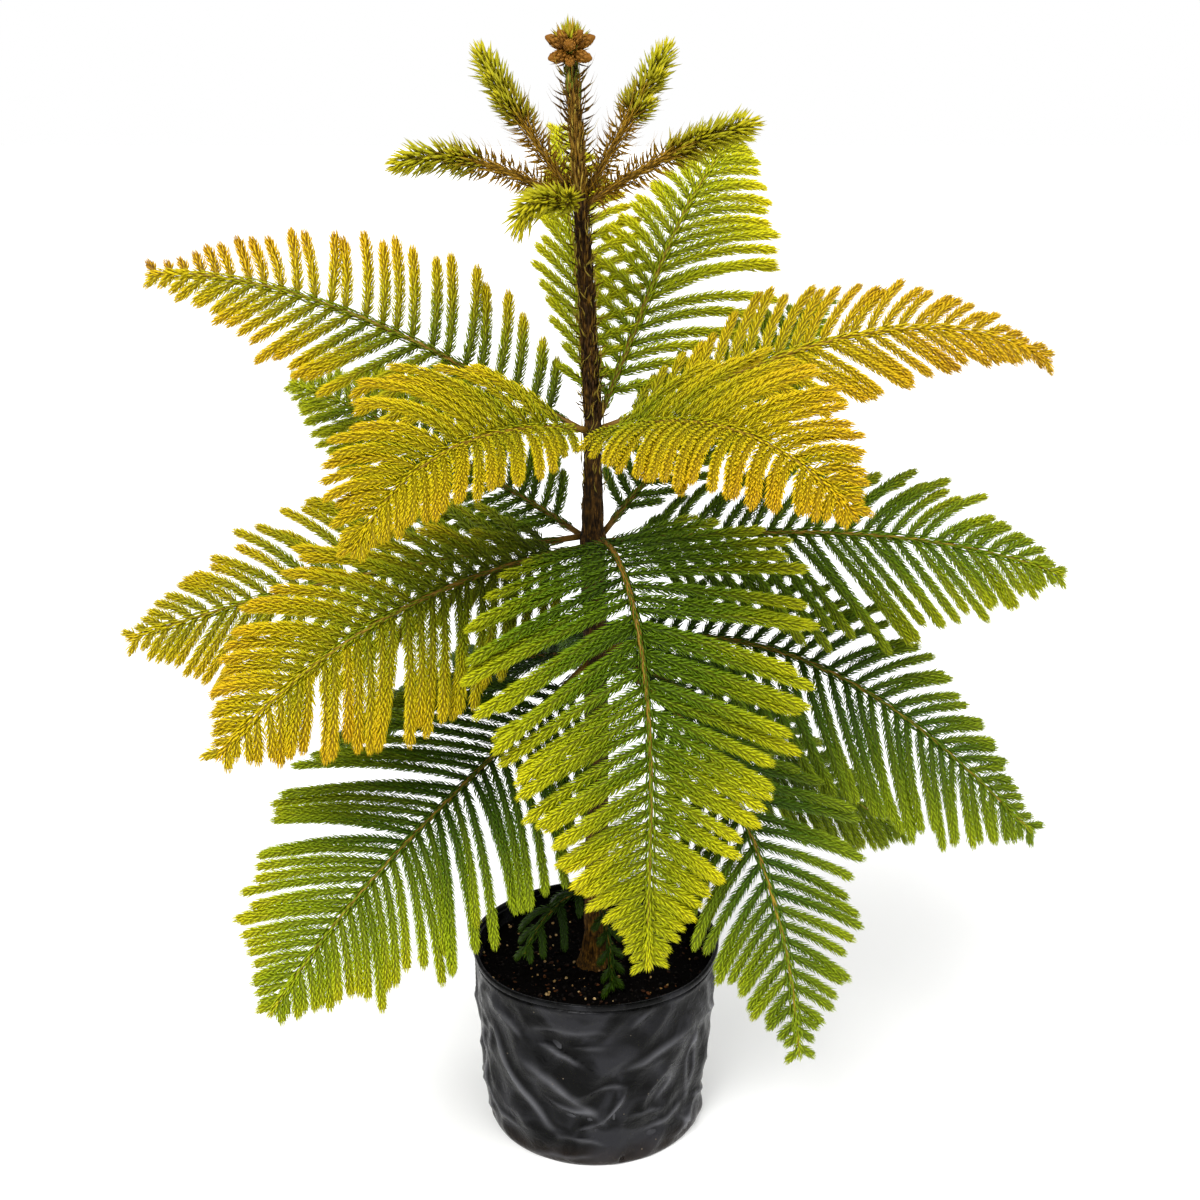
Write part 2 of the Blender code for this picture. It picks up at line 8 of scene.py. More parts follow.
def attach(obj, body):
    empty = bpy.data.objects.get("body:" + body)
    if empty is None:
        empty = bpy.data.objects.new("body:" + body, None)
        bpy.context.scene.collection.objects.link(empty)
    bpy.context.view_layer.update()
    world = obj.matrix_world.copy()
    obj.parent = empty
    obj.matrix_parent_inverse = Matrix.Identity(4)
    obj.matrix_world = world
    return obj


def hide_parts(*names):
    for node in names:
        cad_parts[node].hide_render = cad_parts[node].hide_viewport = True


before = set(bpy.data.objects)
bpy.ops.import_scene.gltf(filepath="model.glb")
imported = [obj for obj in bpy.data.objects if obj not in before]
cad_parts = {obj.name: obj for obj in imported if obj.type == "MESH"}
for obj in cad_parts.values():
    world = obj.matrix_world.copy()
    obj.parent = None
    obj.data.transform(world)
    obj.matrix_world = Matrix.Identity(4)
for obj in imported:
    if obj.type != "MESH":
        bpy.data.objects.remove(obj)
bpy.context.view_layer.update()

MM = 0.001
WORLD_UP = np.array([0.0, 0.0, 1.0])
GOLDEN_ANGLE = math.radians(137.508)

# The camera is nearly level with the plant's top and looks down by so many degrees.
CAMERA_PLACE = (0.004, -1.133, 0.812)
CAMERA_DROP = 17.8
CAMERA_LENS = 46.5
# How bright the white room is behind the plant, where 1 is as white as the camera sees it
ROOM_LIGHT = 0.62

# Sizes that are the same as the solids'
RIM_RADIUS = 100 * MM
BASE_RADIUS = 90 * MM
MEAN_RADIUS = (RIM_RADIUS + BASE_RADIUS) / 2
BAG_HEIGHT = 155 * MM
BAG_WALL = 1.2 * MM
SOIL_LEVEL = 131 * MM
STEM_HOLE_DEPTH = 28 * MM
DRAIN_AZIMUTHS = (284, 14, 104, 194)
DRAIN_HEIGHT = 6.5 * MM
TRUNK_RADIUS = 9.2 * MM
TRUNK_TOP = 836 * MM
LEADER_RADIUS = 4.2 * MM
TAPER_START = 500 * MM
TAPER_POWER = 0.5
LOWER_WHORL = 402 * MM
MIDDLE_WHORL = 495 * MM
UPPER_WHORL = 580 * MM
TOP_WHORL = 744 * MM
BASAL_WHORL = 205 * MM
CLEARANCE = 0.3 * MM
# The dead leaf scales lie on the upper trunk within its radius
SCALE_THICKNESS = 0.7 * MM

# Stems and needles of the fronds
RACHIS_RADIUS = 2.5 * MM
# Fronds shorter than this have thinner midribs
FULL_LENGTH = 220 * MM
RACHIS_TIP_RADIUS = 0.9 * MM
RACHIS_SCALE = 10 * MM
BRANCHLET_CORE = 0.9 * MM
# A branchlet's core is this much wider than thick, as the needles' bases fill its two flanks.
# Its colour is the needles' darkest painted root shade, so it is also a dark band of painted
# shade between the needles.
CORE_FLATNESS = 3.3
BRANCHLET_GAP = 11.6 * MM
NEEDLE_LENGTH = 8.8 * MM
NEEDLE_WIDTH = 1.0 * MM
NEEDLE_SPACING = 0.5 * MM
NEEDLE_LEAN = 25
# Along its two edges a branchlet also has a comb of needles that stand out further
COMB_SPACING = 1.3 * MM
COMB_LEAN = 30
# How far needles reach past the end of the stem that they grow on
NEEDLE_REACH = 4 * MM

# The young top shoots
SHOOT_NEEDLE = 17 * MM
SHOOT_WIDTH = 2.1 * MM
SHOOT_RADIUS = 2.6 * MM
DRY_WIDTH = 1.0 * MM

# A bud of this length has this radius, and others are scaled from it
BUD_LENGTH = 16 * MM
BUD_RADIUS = 3.6 * MM

# A branchlet leaves the midrib at this many degrees, and at fewer of them near the frond's tip
BRANCHLET_ANGLE = 66
TIP_CLOSING = 16
BRANCHLET_STEPS = 12
SHORTEST_BRANCHLET = 8 * MM

# Where woody stems and branchlet cores lie on the map's second axis, and where wood begins. The
# cores lie close to the needles' roots, where the painted shade is darkest.
WOODY_STRIP = 0.88
WOODY_FROM = 0.84
SHADED_CORE_STRIP = 0.03


def linear(code):
    """An sRGB hex colour as linear red, green, blue and alpha."""
    parts = [int(code[i:i + 2], 16) / 255 for i in (1, 3, 5)]
    return (*[p / 12.92 if p <= 0.04045 else ((p + 0.055) / 1.055) ** 2.4 for p in parts], 1.0)


def new_material(name):
    material = bpy.data.materials.new(name)
    material.use_nodes = True
    return material, material.node_tree, material.node_tree.nodes["Principled BSDF"]


def set_inputs(tree, node, inputs):
    """Links a node's inputs to sockets, or gives them plain values."""
    for key, value in inputs.items():
        if isinstance(value, bpy.types.NodeSocket):
            tree.links.new(value, node.inputs[key])
        else:
            node.inputs[key].default_value = value


def add_node(tree, kind, inputs=None, **settings):
    """Adds a shader node with its settings and links."""
    node = tree.nodes.new("ShaderNode" + kind)
    for key, value in settings.items():
        setattr(node, key, value)
    set_inputs(tree, node, inputs or {})
    return node


def per_mm(size):
    """The scale of a pattern whose features are so many millimetres wide."""
    return 1 / (size * MM)


def coloured(tree, value, stops):
    """The colour for a value, between stops that each have a value and a colour."""
    node = add_node(tree, "ValToRGB", {0: value})
    ramp = node.color_ramp
    while len(ramp.elements) < len(stops):
        ramp.elements.new(0.5)
    for element, (place, colour) in zip(ramp.elements, stops):
        element.position = place
        element.color = linear(colour)
    return node.outputs[0]


def blended(tree, share, under, over, kind="MIX"):
    """One colour laid over another, as densely as share says."""
    inputs = {0: share, 6: under, 7: over}
    return add_node(tree, "Mix", inputs, data_type="RGBA", blend_type=kind).outputs[2]


def ranged(tree, value, first, last, low, high):
    """Values from first to last, turned into values from low to high."""
    return add_node(tree, "MapRange", {0: value, 1: first, 2: last, 3: low, 4: high}).outputs[0]


def clouded(tree, place, size, detail, **more):
    """A noise pattern whose features are so many millimetres wide."""
    inputs = {"Vector": place, "Scale": per_mm(size), "Detail": detail, **more}
    return add_node(tree, "TexNoise", inputs).outputs[0]


def embossed(tree, height, strength, depth):
    """The normals of a skin with a relief so many millimetres deep."""
    inputs = {"Height": height, "Strength": strength, "Distance": depth * MM}
    return add_node(tree, "Bump", inputs).outputs[0]


def split_up(tree, place):
    """The three values that a place is made of."""
    return add_node(tree, "SeparateXYZ", {0: place}).outputs


# Living needles: a waxy skin, so a soft satin gloss. The map's first axis runs from the oldest,
# greenest needle to the youngest or driest. Its second runs from a needle's root to its point,
# and at its end it is woody stem. Along that second axis the colour is darkened towards the root,
# a painted shade where the needles crowd, and lightened a little at the point, a painted light.
def needle_material(name, tones, wood, roughness=0.5, root_shade=0.3):
    material, tree, shader = new_material(name)
    tone, along, _ = split_up(tree, add_node(tree, "UVMap", uv_map="OFBake").outputs[0])
    # Painted shade: the colour is multiplied down to root_shade at each needle's root, and up to 1.08 at
    # its point as painted light
    shade = ranged(tree, along, 0.0, 0.5, root_shade, 1.08)
    root_shaded = blended(tree, 1.0, coloured(tree, tone, tones), shade, "MULTIPLY")
    woody = add_node(tree, "Math", {0: along, 1: WOODY_FROM}, operation="GREATER_THAN").outputs[0]
    both = blended(tree, woody, root_shaded, coloured(tree, tone, wood))
    set_inputs(tree, shader, {"Base Color": both, "Roughness": roughness, "Specular IOR Level": 0.14})
    return material


GOLD_TONES = [(0.0, "#3e5204"), (0.25, "#808c06"), (0.5, "#ccb80a"), (0.78, "#dab010"), (1.0, "#ae7c14")]
GREEN_TONES = [(0.0, "#304a04"), (0.3, "#648006"), (0.6, "#b4b80a"), (0.85, "#dcd40e"), (1.0, "#ecd810")]
DARK_TONES = [(0.0, "#223c04"), (0.35, "#4a6a0a"), (0.7, "#9cac10"), (1.0, "#ccc412")]
SHOOT_TONES = [(0.0, "#70500c"), (0.35, "#a47c1c"), (0.6, "#84740c"), (0.8, "#98940e"), (1.0, "#c2b414")]
STEM_TONES = [(0.0, "#664a16"), (0.4, "#967226"), (1.0, "#a8902e")]
SHOOT_STEM = [(0.0, "#5c4010"), (0.6, "#7c6016"), (1.0, "#7c741a")]


# Rough young bark: fibres 1.4 mm wide run up the stem, between paler leaf scars 5 mm across. It
# is lighter at the foot, below the lowest whorl.
def bark_material():
    material, tree, shader = new_material("rough_young_bark")
    place = add_node(tree, "TexCoord").outputs["Object"]
    stretched = add_node(tree, "Mapping", {"Vector": place, "Scale": (1, 1, 0.16)}).outputs[0]
    fibres = clouded(tree, stretched, 1.4, 5.0, Roughness=0.65)
    colour = coloured(tree, fibres, [(0.32, "#120a02"), (0.48, "#33220a"), (0.6, "#563c12"),
                                     (0.74, "#927038")])
    patch = coloured(tree, clouded(tree, place, 5, 3.0),
                     [(0.35, "#3c2a12"), (0.5, "#f0e8dc"), (0.7, "#fff2d8")])
    both = blended(tree, 0.75, colour, patch, "MULTIPLY")
    light = ranged(tree, split_up(tree, place)[2], 190 * MM, 300 * MM, 2.6, 1.0)
    set_inputs(tree, shader, {"Base Color": blended(tree, 1.0, both, light, "MULTIPLY"),
                              "Normal": embossed(tree, fibres, 0.9, 0.8), "Roughness": 0.82,
                              "Specular IOR Level": 0.15})
    return material


# Black polythene film: a satin sheet with crinkles 9 mm wide. Its colour is painted paler in broad
# clouds, a painted sheen, and along its creases, where the mesh's own attribute "ridge" is high, as
# painted highlights. It has specks of grit and a dusty foot.
def bag_material():
    material, tree, shader = new_material("black_polythene_film")
    place = add_node(tree, "TexCoord").outputs["Object"]
    # Painted sheen: the near-black film is painted paler in broad clouds, in place of its reflections
    colour = coloured(tree, clouded(tree, place, 34, 2.0, Distortion=0.8),
                      [(0.38, "#020202"), (0.5, "#0e0e0f"), (0.66, "#252528")])
    # Painted highlight: the colour is lightened along the creases' crests
    ridge = add_node(tree, "Attribute", attribute_name="ridge").outputs["Fac"]
    crest_highlight = blended(tree, ridge, colour, linear("#5e5e62"))
    specks = add_node(tree, "TexVoronoi", {"Vector": place, "Scale": per_mm(13)}).outputs["Distance"]
    gritty = blended(tree, ranged(tree, specks, 0.03, 0.05, 1.0, 0.0), crest_highlight, linear("#6a6052"))
    foot = ranged(tree, split_up(tree, place)[2], 0.0, 22 * MM, 0.55, 0.0)
    grime = clouded(tree, place, 6, 6.0)
    amount = add_node(tree, "Math", {0: foot, 1: grime}, operation="MULTIPLY").outputs[0]
    crinkle = clouded(tree, place, 9, 3.0, Distortion=1.2)
    set_inputs(tree, shader, {"Base Color": blended(tree, amount, gritty, linear("#3c2f24")),
                              "Roughness": ranged(tree, grime, 0.3, 0.7, 0.2, 0.3),
                              "Normal": embossed(tree, crinkle, 0.5, 1.5), "Specular IOR Level": 0.08})
    return material


# Moist peat and bark mix: nearly black, matt, with grains 1.5 mm across.
def soil_material():
    material, tree, shader = new_material("moist_peat_and_bark")
    place = add_node(tree, "TexCoord").outputs["Object"]
    grain = clouded(tree, place, 1.5, 5.0, Roughness=0.7)
    colour = coloured(tree, grain, [(0.35, "#010000"), (0.58, "#050201"), (0.75, "#120904")])
    set_inputs(tree, shader, {"Base Color": colour, "Normal": embossed(tree, grain, 1.0, 1),
                              "Roughness": 0.92, "Specular IOR Level": 0.05})
    return material


CRUMB_TONES = [(0.0, "#040201"), (0.45, "#120a05"), (0.6, "#351c0b"), (0.78, "#6e3f1a"),
               (0.85, "#b08248"), (1.0, "#d8b680")]


# Loose crumbs: the map's first axis runs from black peat through bark chips to tan grit.
def crumb_material():
    material, tree, shader = new_material("bark_crumbs_and_grit")
    tone = split_up(tree, add_node(tree, "UVMap", uv_map="OFBake").outputs[0])[0]
    set_inputs(tree, shader, {"Base Color": coloured(tree, tone, CRUMB_TONES), "Roughness": 0.85,
                              "Specular IOR Level": 0.2})
    return material


# Dry bud scales: thin, papery and brown
BUD_TONES = [(0.0, "#3c2206"), (0.5, "#744a0c"), (1.0, "#b07c30")]
BUD_WOOD = [(0.0, "#5a380c"), (1.0, "#9c6c24")]
# Leaf scales on the stem: dark brown to golden brown, then straw, then still green
SCALE_TONES = [(0.0, "#1c1002"), (0.4, "#422a08"), (0.7, "#7e5c14"), (0.78, "#b49e3e"), (0.88, "#5c6212"),
               (1.0, "#70761c")]


# A frond's measures, close to its solid's: lengths in millimetres, angles in degrees. The slopes
# are at its foot, middle and tip. A branchlet's reach, its hang and how much wider than usual it
# leaves the midrib are for the left and the right side. Tone is the needles' colour at the stem,
# its rise to the frond's tip and its rise along a branchlet. Blush is a further rise on each side.
def frond(name, whorl, rise, azimuth, length, slopes, bend, roll, reach, hang, kind, tone,
          bare=32, open_by=(0, 0), blush=(0, 0), gap=1.0, outline=(0.6, 0.28, 1.8), size=1.0, lift=0.12,
          sweep=0.3):
    return dict(name=name, height=whorl + rise * MM, azimuth=azimuth, length=length * MM,
                slopes=slopes, bend=bend, roll=roll, reach=[r * MM for r in reach], hang=hang,
                bare=bare * MM, kind=kind, tone=tone, open_by=open_by, blush=blush, gap=gap * BRANCHLET_GAP,
                outline=outline, needle=size * NEEDLE_LENGTH, lift=lift, sweep=sweep)


UPPER = [
    frond("frond_upper_right", UPPER_WHORL, 2, 1, 350, (20, 15, -32), 0, 38,
          (74, 85), (0.35, 0.35), "gold", (0.3, 0.5, 0.25)),
    frond("frond_upper_back_right", UPPER_WHORL, 5, 62, 312, (42, 46, 20), -5, 27,
          (62, 110), (0.5, 0.5), "green", (0.35, 0.3, 0.45), open_by=(-8, -14), gap=1.1, size=1.12,
          sweep=-0.1),
    frond("frond_upper_back", UPPER_WHORL, -1, 99, 290, (56, 50, 34), 0, 0,
          (50, 80), (0.2, 0.5), "green", (0.4, 0.3, 0.45), bare=40, open_by=(-26, -8), gap=1.15,
          sweep=-0.1),
    frond("frond_upper_left", UPPER_WHORL, 0, 166, 362, (25, 21, -4), 6, -50,
          (85, 80), (0.4, 0.0), "gold", (0.0, 0.5, 0.5), open_by=(0, 12), blush=(0.0, 0.4), gap=1.15,
          size=1.15),
    frond("frond_upper_front_left", UPPER_WHORL, 2, 227, 240, (11, -9, -61), -4, -32,
          (80, 100), (0.75, 0.75), "gold", (0.3, 0.24, 0.24), gap=0.78, lift=0.5, sweep=0.6),
    frond("frond_upper_front_right", UPPER_WHORL, -2, 304, 290, (19, 2, -33), 0, 26,
          (92, 112), (0.5, 0.5), "gold", (0.25, 0.4, 0.28), gap=0.85, lift=0.35, sweep=0.6),
]
MIDDLE = [
    frond("frond_middle_right", MIDDLE_WHORL, 0, -1, 360, (5, -3, -22), 4, 44,
          (98, 112), (0.5, 0.5), "green", (0.05, 0.35, 0.3)),
    frond("frond_middle_back_right", MIDDLE_WHORL, 4, 42, 300, (38, 32, 25), 0, 15,
          (80, 80), (0.15, 0.15), "green", (0.1, 0.25, 0.25)),
    frond("frond_middle_back_left", MIDDLE_WHORL, 2, 141, 345, (20, 14, 8), 0, -40,
          (85, 85), (0.2, 0.2), "green", (0.15, 0.35, 0.3), size=1.1),
    frond("frond_middle_left", MIDDLE_WHORL, 4, 184, 358, (-8, -12, -20), -3, -45,
          (120, 100), (0.38, 0.38), "gold", (0.0, 0.45, 0.35), gap=1.08, size=1.05),
    frond("frond_middle_front_left", MIDDLE_WHORL, -3, 216, 328, (0, -15, -39), 6, -45,
          (112, 108), (0.45, 0.45), "gold", (0.0, 0.55, 0.4), gap=0.9, size=1.06),
    frond("frond_middle_front", MIDDLE_WHORL, 0, 285, 384, (26, -76, -86), 0, 14,
          (134, 140), (0, 0), "green", (0.0, 0.6, 0.5), open_by=(7, 7), outline=(0.9, 0.2, 1.35), gap=0.86,
          size=1.16, sweep=0.12),
]
LOWER = [
    frond("frond_lower_right", LOWER_WHORL, 6, -11, 388, (24, -28, -45), 8, 55,
          (80, 125), (0.25, 0.25), "dark", (0.1, 0.4, 0.35)),
    frond("frond_lower_back_right", LOWER_WHORL, 0, 24, 335, (-26, -38, -34), -15, 36,
          (80, 108), (0.36, 0.36), "dark", (0.15, 0.4, 0.3), gap=0.93),
    frond("frond_lower_back", LOWER_WHORL, 3, 90, 300, (0, -25, -42), 0, 0,
          (110, 90), (0.9, 0.6), "dark", (0.05, 0.3, 0.3), gap=0.92, outline=(0.9, 0.28, 1.8)),
    frond("frond_lower_back_left", LOWER_WHORL, 0, 150, 310, (-10, -28, -42), 0, -12,
          (95, 80), (0.6, 0.4), "dark", (0.05, 0.3, 0.3), outline=(0.95, 0.28, 1.8)),
    frond("frond_lower_left", LOWER_WHORL, -4, 220, 352, (-32, -28, -43), 8, -28,
          (126, 130), (0.3, 0.15), "dark", (0.05, 0.65, 0.45), gap=0.82, outline=(0.85, 0.28, 1.8),
          size=0.96),
    frond("frond_lower_front_right", LOWER_WHORL, -2, 312, 358, (0, -48, -82), -12, 32,
          (100, 104), (0.05, 0.05), "dark", (0.06, 0.5, 0.35), bare=80, outline=(0.35, 0.3, 1.8), size=0.96,
          lift=-0.28),
]
BASAL = [
    frond("basal_left", BASAL_WHORL, 0, 222, 84, (8, -28, -60), 0, -10,
          (46, 42), (1.9, 1.9), "dark", (0.0, 0.2, 0.2), bare=18, gap=1.5, size=0.75),
    frond("basal_front", BASAL_WHORL, -12, 285, 78, (-5, -58, -80), 0, 0,
          (20, 20), (0.9, 0.9), "dark", (0.0, 0.2, 0.2), bare=18, gap=1.2, size=0.75),
    frond("basal_right", BASAL_WHORL, -8, 330, 60, (5, -25, -45), 0, 0,
          (20, 20), (0.9, 0.9), "dark", (0.0, 0.2, 0.2), bare=18, gap=1.2, size=0.75),
]


# Top shoots: brown spreading needles up to the share called turn, then green ones. A side tuft is
# a share along the shoot, a side in degrees and a length in millimetres.
def shoot(name, rise, azimuth, length, slopes, turn, tufts, needle=SHOOT_NEEDLE, lean=45, broad=1.0):
    return dict(name=name, height=TOP_WHORL + rise * MM, azimuth=azimuth, length=length * MM,
                slopes=slopes, bend=0, roll=0, turn=turn, tufts=tufts, needle=needle, lean=lean,
                broad=broad)


SHOOTS = [
    shoot("shoot_right", 0, 352, 128, (32, 26, 12), 0.5,
          [(0.5, 80, 20), (0.64, -70, 16), (0.72, 60, 16)]),
    shoot("shoot_upper_right", 6, 38, 124, (52, 53, 55), 0.54,
          [(0.5, -90, 22), (0.54, 90, 24), (0.7, -80, 18)]),
    shoot("shoot_upper_left", 4, 150, 126, (48, 52, 55), 0.5,
          [(0.48, -90, 20), (0.56, 90, 22), (0.7, 80, 18)]),
    shoot("shoot_left", 0, 187, 131, (26, 16, -22), 0.52,
          [(0.62, 80, 14)]),
    shoot("shoot_front", -2, 237, 76, (8, 0, -70), 0.0,
          [(0.2, 80, 22), (0.35, -80, 18)], 24 * MM, 22, 0.6),
]


def add_object(name, data):
    piece = bpy.data.objects.new(name, data)
    bpy.context.scene.collection.objects.link(piece)
    return piece


def set_camera():
    data = bpy.data.cameras.new("camera")
    data.lens = CAMERA_LENS
    camera = add_object("camera", data)
    camera.location = CAMERA_PLACE
    camera.rotation_euler = (math.radians(90 - CAMERA_DROP), 0, 0)
    bpy.context.scene.camera = camera


def add_softbox(name, azimuth, elevation, width, strength):
    """A very wide, even light from one direction, such as a large softbox gives. The angles are
    in degrees, and width is how wide the light looks from the plant."""
    data = bpy.data.lights.new(name, "SUN")
    data.angle = math.radians(width)
    data.energy = strength
    towards = Vector(way_at(azimuth, elevation))
    add_object(name, data).rotation_euler = towards.to_track_quat("Z", "Y").to_euler()


def add_primitive(add, **settings):
    """Adds a primitive with nothing else selected, and puts its place and turn in its mesh."""
    bpy.ops.object.select_all(action="DESELECT")
    add(**settings)
    bpy.ops.object.transform_apply(location=True, rotation=True, scale=True)
    return bpy.context.object


def set_stage():
    floor = add_primitive(bpy.ops.mesh.primitive_plane_add, size=60)
    floor.name = "floor"
    # Matt white card, with a little light of its own so that its far edge meets the white sky
    material, tree, shader = new_material("matt_white_card")
    set_inputs(tree, shader, {"Base Color": linear("#e6e6e5"), "Roughness": 0.9, "Specular IOR Level": 0.0,
                              "Emission Color": linear("#ffffff"), "Emission Strength": 0.24})
    floor.data.materials.append(material)
    # A white backdrop to the camera. What lights the plant is dimmer in front than on its far
    # side, so that folds and needles show their form.
    world = bpy.data.worlds.new("studio")
    world.use_nodes = True
    tree = world.node_tree
    way = split_up(tree, add_node(tree, "TexCoord").outputs["Generated"])
    lit = ranged(tree, way[1], -0.8, -0.2, 0.1, ROOM_LIGHT)
    seen = add_node(tree, "LightPath").outputs["Is Camera Ray"]
    strength = add_node(tree, "Mix", {0: seen, 2: lit, 3: 1.0})
    set_inputs(tree, tree.nodes["Background"],
               {"Strength": strength.outputs[0], "Color": linear("#ffffff")})
    bpy.context.scene.world = world
    bpy.context.scene.view_settings.view_transform = "Standard"
    add_softbox("key_softbox", azimuth=240, elevation=50, width=32, strength=3.7)
    add_softbox("fill_softbox", azimuth=322, elevation=38, width=55, strength=1.5)


# Geometry is gathered as arrays: corners, triangles and the place of each triangle's corners
# on the map.
class Gathered:
    def __init__(self):
        self.points, self.faces, self.maps, self.count = [], [], [], 0

    def add(self, points, faces, maps):
        self.points.append(points.reshape(-1, 3))
        self.faces.append(faces.reshape(-1, 3) + self.count)
        self.maps.append(maps.reshape(-1, 3, 2))
        self.count += len(self.points[-1])

    def make(self, name, material):
        points, faces = np.concatenate(self.points), np.concatenate(self.faces)
        mesh = bpy.data.meshes.new(name)
        mesh.vertices.add(len(points))
        mesh.vertices.foreach_set("co", points.astype(np.float32).ravel())
        mesh.loops.add(faces.size)
        mesh.loops.foreach_set("vertex_index", faces.astype(np.int32).ravel())
        mesh.polygons.add(len(faces))
        mesh.polygons.foreach_set("loop_start", np.arange(0, faces.size, 3, dtype=np.int32))
        mesh.update(calc_edges=True)
        layer = mesh.uv_layers.new(name="OFBake")
        layer.data.foreach_set("uv", np.concatenate(self.maps).astype(np.float32).ravel())
        mesh.polygons.foreach_set("use_smooth", np.ones(len(faces), bool))
        mesh.materials.append(material)
        return add_object(name, mesh)


def hand_in(piece, node=None):
    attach(piece, "root")
    if node:
        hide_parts(node)


# Templates, modelled once and then copied many times
def edit_on(choose=None):
    """Goes into edit mode with everything selected, or only the corners that choose picks."""
    mesh = bpy.context.object.data
    bpy.ops.object.mode_set(mode="EDIT")
    bpy.ops.mesh.select_all(action="DESELECT")
    bpy.ops.mesh.select_mode(type="VERT")
    bpy.ops.object.mode_set(mode="OBJECT")
    for corner in mesh.vertices:
        corner.select = choose is None or choose(corner.co)
    bpy.ops.object.mode_set(mode="EDIT")


def take_template():
    """Closes the template's editing and hands over its corners and triangles."""
    bpy.ops.mesh.select_all(action="SELECT")
    bpy.ops.mesh.quads_convert_to_tris()
    bpy.ops.mesh.normals_make_consistent(inside=False)
    bpy.ops.object.mode_set(mode="OBJECT")
    piece = bpy.context.object
    mesh = piece.data
    points = np.array([v.co for v in mesh.vertices])
    faces = np.array([p.vertices[:] for p in mesh.polygons])
    bpy.data.objects.remove(piece)
    bpy.data.meshes.remove(mesh)
    return points, faces


def model_needle(slimness, bow, belly=0.5, cuts=()):
    """One awl-shaped needle of unit length along +X, pointed at both ends, with its keel on the
    inside and its broad back bowed out to +Y."""
    radius = slimness / math.sqrt(3)
    add_primitive(bpy.ops.mesh.primitive_cone_add, vertices=3, radius1=radius, radius2=0, depth=1 - belly,
                  location=((1 + belly) / 2, 0, 0), rotation=(math.pi, -math.pi / 2, 0))
    edit_on(lambda place: place.x < belly + 0.001 and place.y < 0)
    bpy.ops.transform.translate(value=(-belly, radius, 0))
    for cut in cuts:
        bpy.ops.mesh.select_all(action="SELECT")
        bpy.ops.mesh.bisect(plane_co=(cut, 0, 0), plane_no=(1, 0, 0))
    points, faces = take_template()
    points[:, 1] += bow * 4 * points[:, 0] * (1 - points[:, 0])
    return points, faces


def bud_fullness(share):
    """How full a bud is, beside a plain egg shape, at a share of its length."""
    return 1.18 - 0.38 * share


def model_bud():
    """A bud of unit length along +X, widest below its middle and pointed."""
    add_primitive(bpy.ops.mesh.primitive_uv_sphere_add, segments=12, ring_count=8, radius=0.5,
                  location=(0.5, 0, 0), rotation=(0, math.pi / 2, 0))
    edit_on()
    points, faces = take_template()
    points[:, 1:] *= 2 * BUD_RADIUS / BUD_LENGTH * bud_fullness(points[:, :1])
    return points, faces


def model_stem(sides, rings):
    """A closed stem of unit length along +X and unit radius, with rings to bend it at."""
    add_primitive(bpy.ops.mesh.primitive_cylinder_add, vertices=sides, radius=1, depth=1,
                  end_fill_type="TRIFAN", location=(0.5, 0, 0), rotation=(0, math.pi / 2, 0))
    edit_on()
    for ring in range(1, rings):
        bpy.ops.mesh.select_all(action="SELECT")
        bpy.ops.mesh.bisect(plane_co=(ring / rings, 0, 0), plane_no=(1, 0, 0))
    return take_template()


def model_crumb():
    add_primitive(bpy.ops.mesh.primitive_ico_sphere_add, subdivisions=1, radius=0.5)
    edit_on()
    bpy.ops.transform.vertex_random(offset=0.07, seed=3)
    return take_template()


def unit(vectors):
    return vectors / np.linalg.norm(vectors, axis=-1, keepdims=True)


def level_way(turn):
    """Level directions at turns round the plant, in radians."""
    return np.stack([np.cos(turn), np.sin(turn), 0 * turn], -1)


def way_at(azimuth, lift):
    """The direction so many degrees round the plant and so many up from level."""
    lift = math.radians(lift)
    return level_way(math.radians(azimuth)) * math.cos(lift) + WORLD_UP * math.sin(lift)


def spiral(count):
    return level_way(np.arange(count) * GOLDEN_ANGLE)


def trunk_axis(height):
    """The trunk's middle at a height: it sways a little, and its leader leans to the left."""
    height = np.asarray(height, float)
    sway = 1.5 * MM * np.sin(np.maximum(0, height - SOIL_LEVEL) / (90 * MM))
    lean = -18 * MM * np.maximum(0, (height - UPPER_WHORL) / (TRUNK_TOP - UPPER_WHORL)) ** 1.2
    return np.stack([sway + lean, 0 * height, height], axis=-1)


def trunk_radius(height):
    share = np.maximum(0, (height - TAPER_START) / (TRUNK_TOP - TAPER_START))
    return TRUNK_RADIUS + (LEADER_RADIUS - TRUNK_RADIUS) * share ** TAPER_POWER


def trace(spec, steps=96):
    """Points along a midrib, and the directions along it, to its left and up from its blade."""
    s = np.linspace(0, 1, steps + 1)
    launch, middle, tip = spec["slopes"]
    slope = np.radians(launch * (1 - s) * (1 - 2 * s) + 4 * middle * s * (1 - s) + tip * s * (2 * s - 1))
    heading = np.radians(spec["azimuth"] + spec["bend"] * s)
    roll = np.radians(spec["roll"] * np.minimum(1, s / 0.12))[:, None]
    along = np.stack([np.cos(slope) * np.cos(heading), np.cos(slope) * np.sin(heading), np.sin(slope)], 1)
    level = np.stack([-np.sin(heading), np.cos(heading), 0 * s], 1)
    above = np.cross(along, level)
    left = np.cos(roll) * level + np.sin(roll) * above
    root = trunk_axis(spec["height"])
    root = root + level_way(math.radians(spec["azimuth"])) * (trunk_radius(spec["height"]) + CLEARANCE)
    walk = np.cumsum(along[:-1] * spec["length"] / steps, axis=0)
    points = root + np.concatenate([np.zeros((1, 3)), walk])
    return points, along, left, np.cross(along, left)


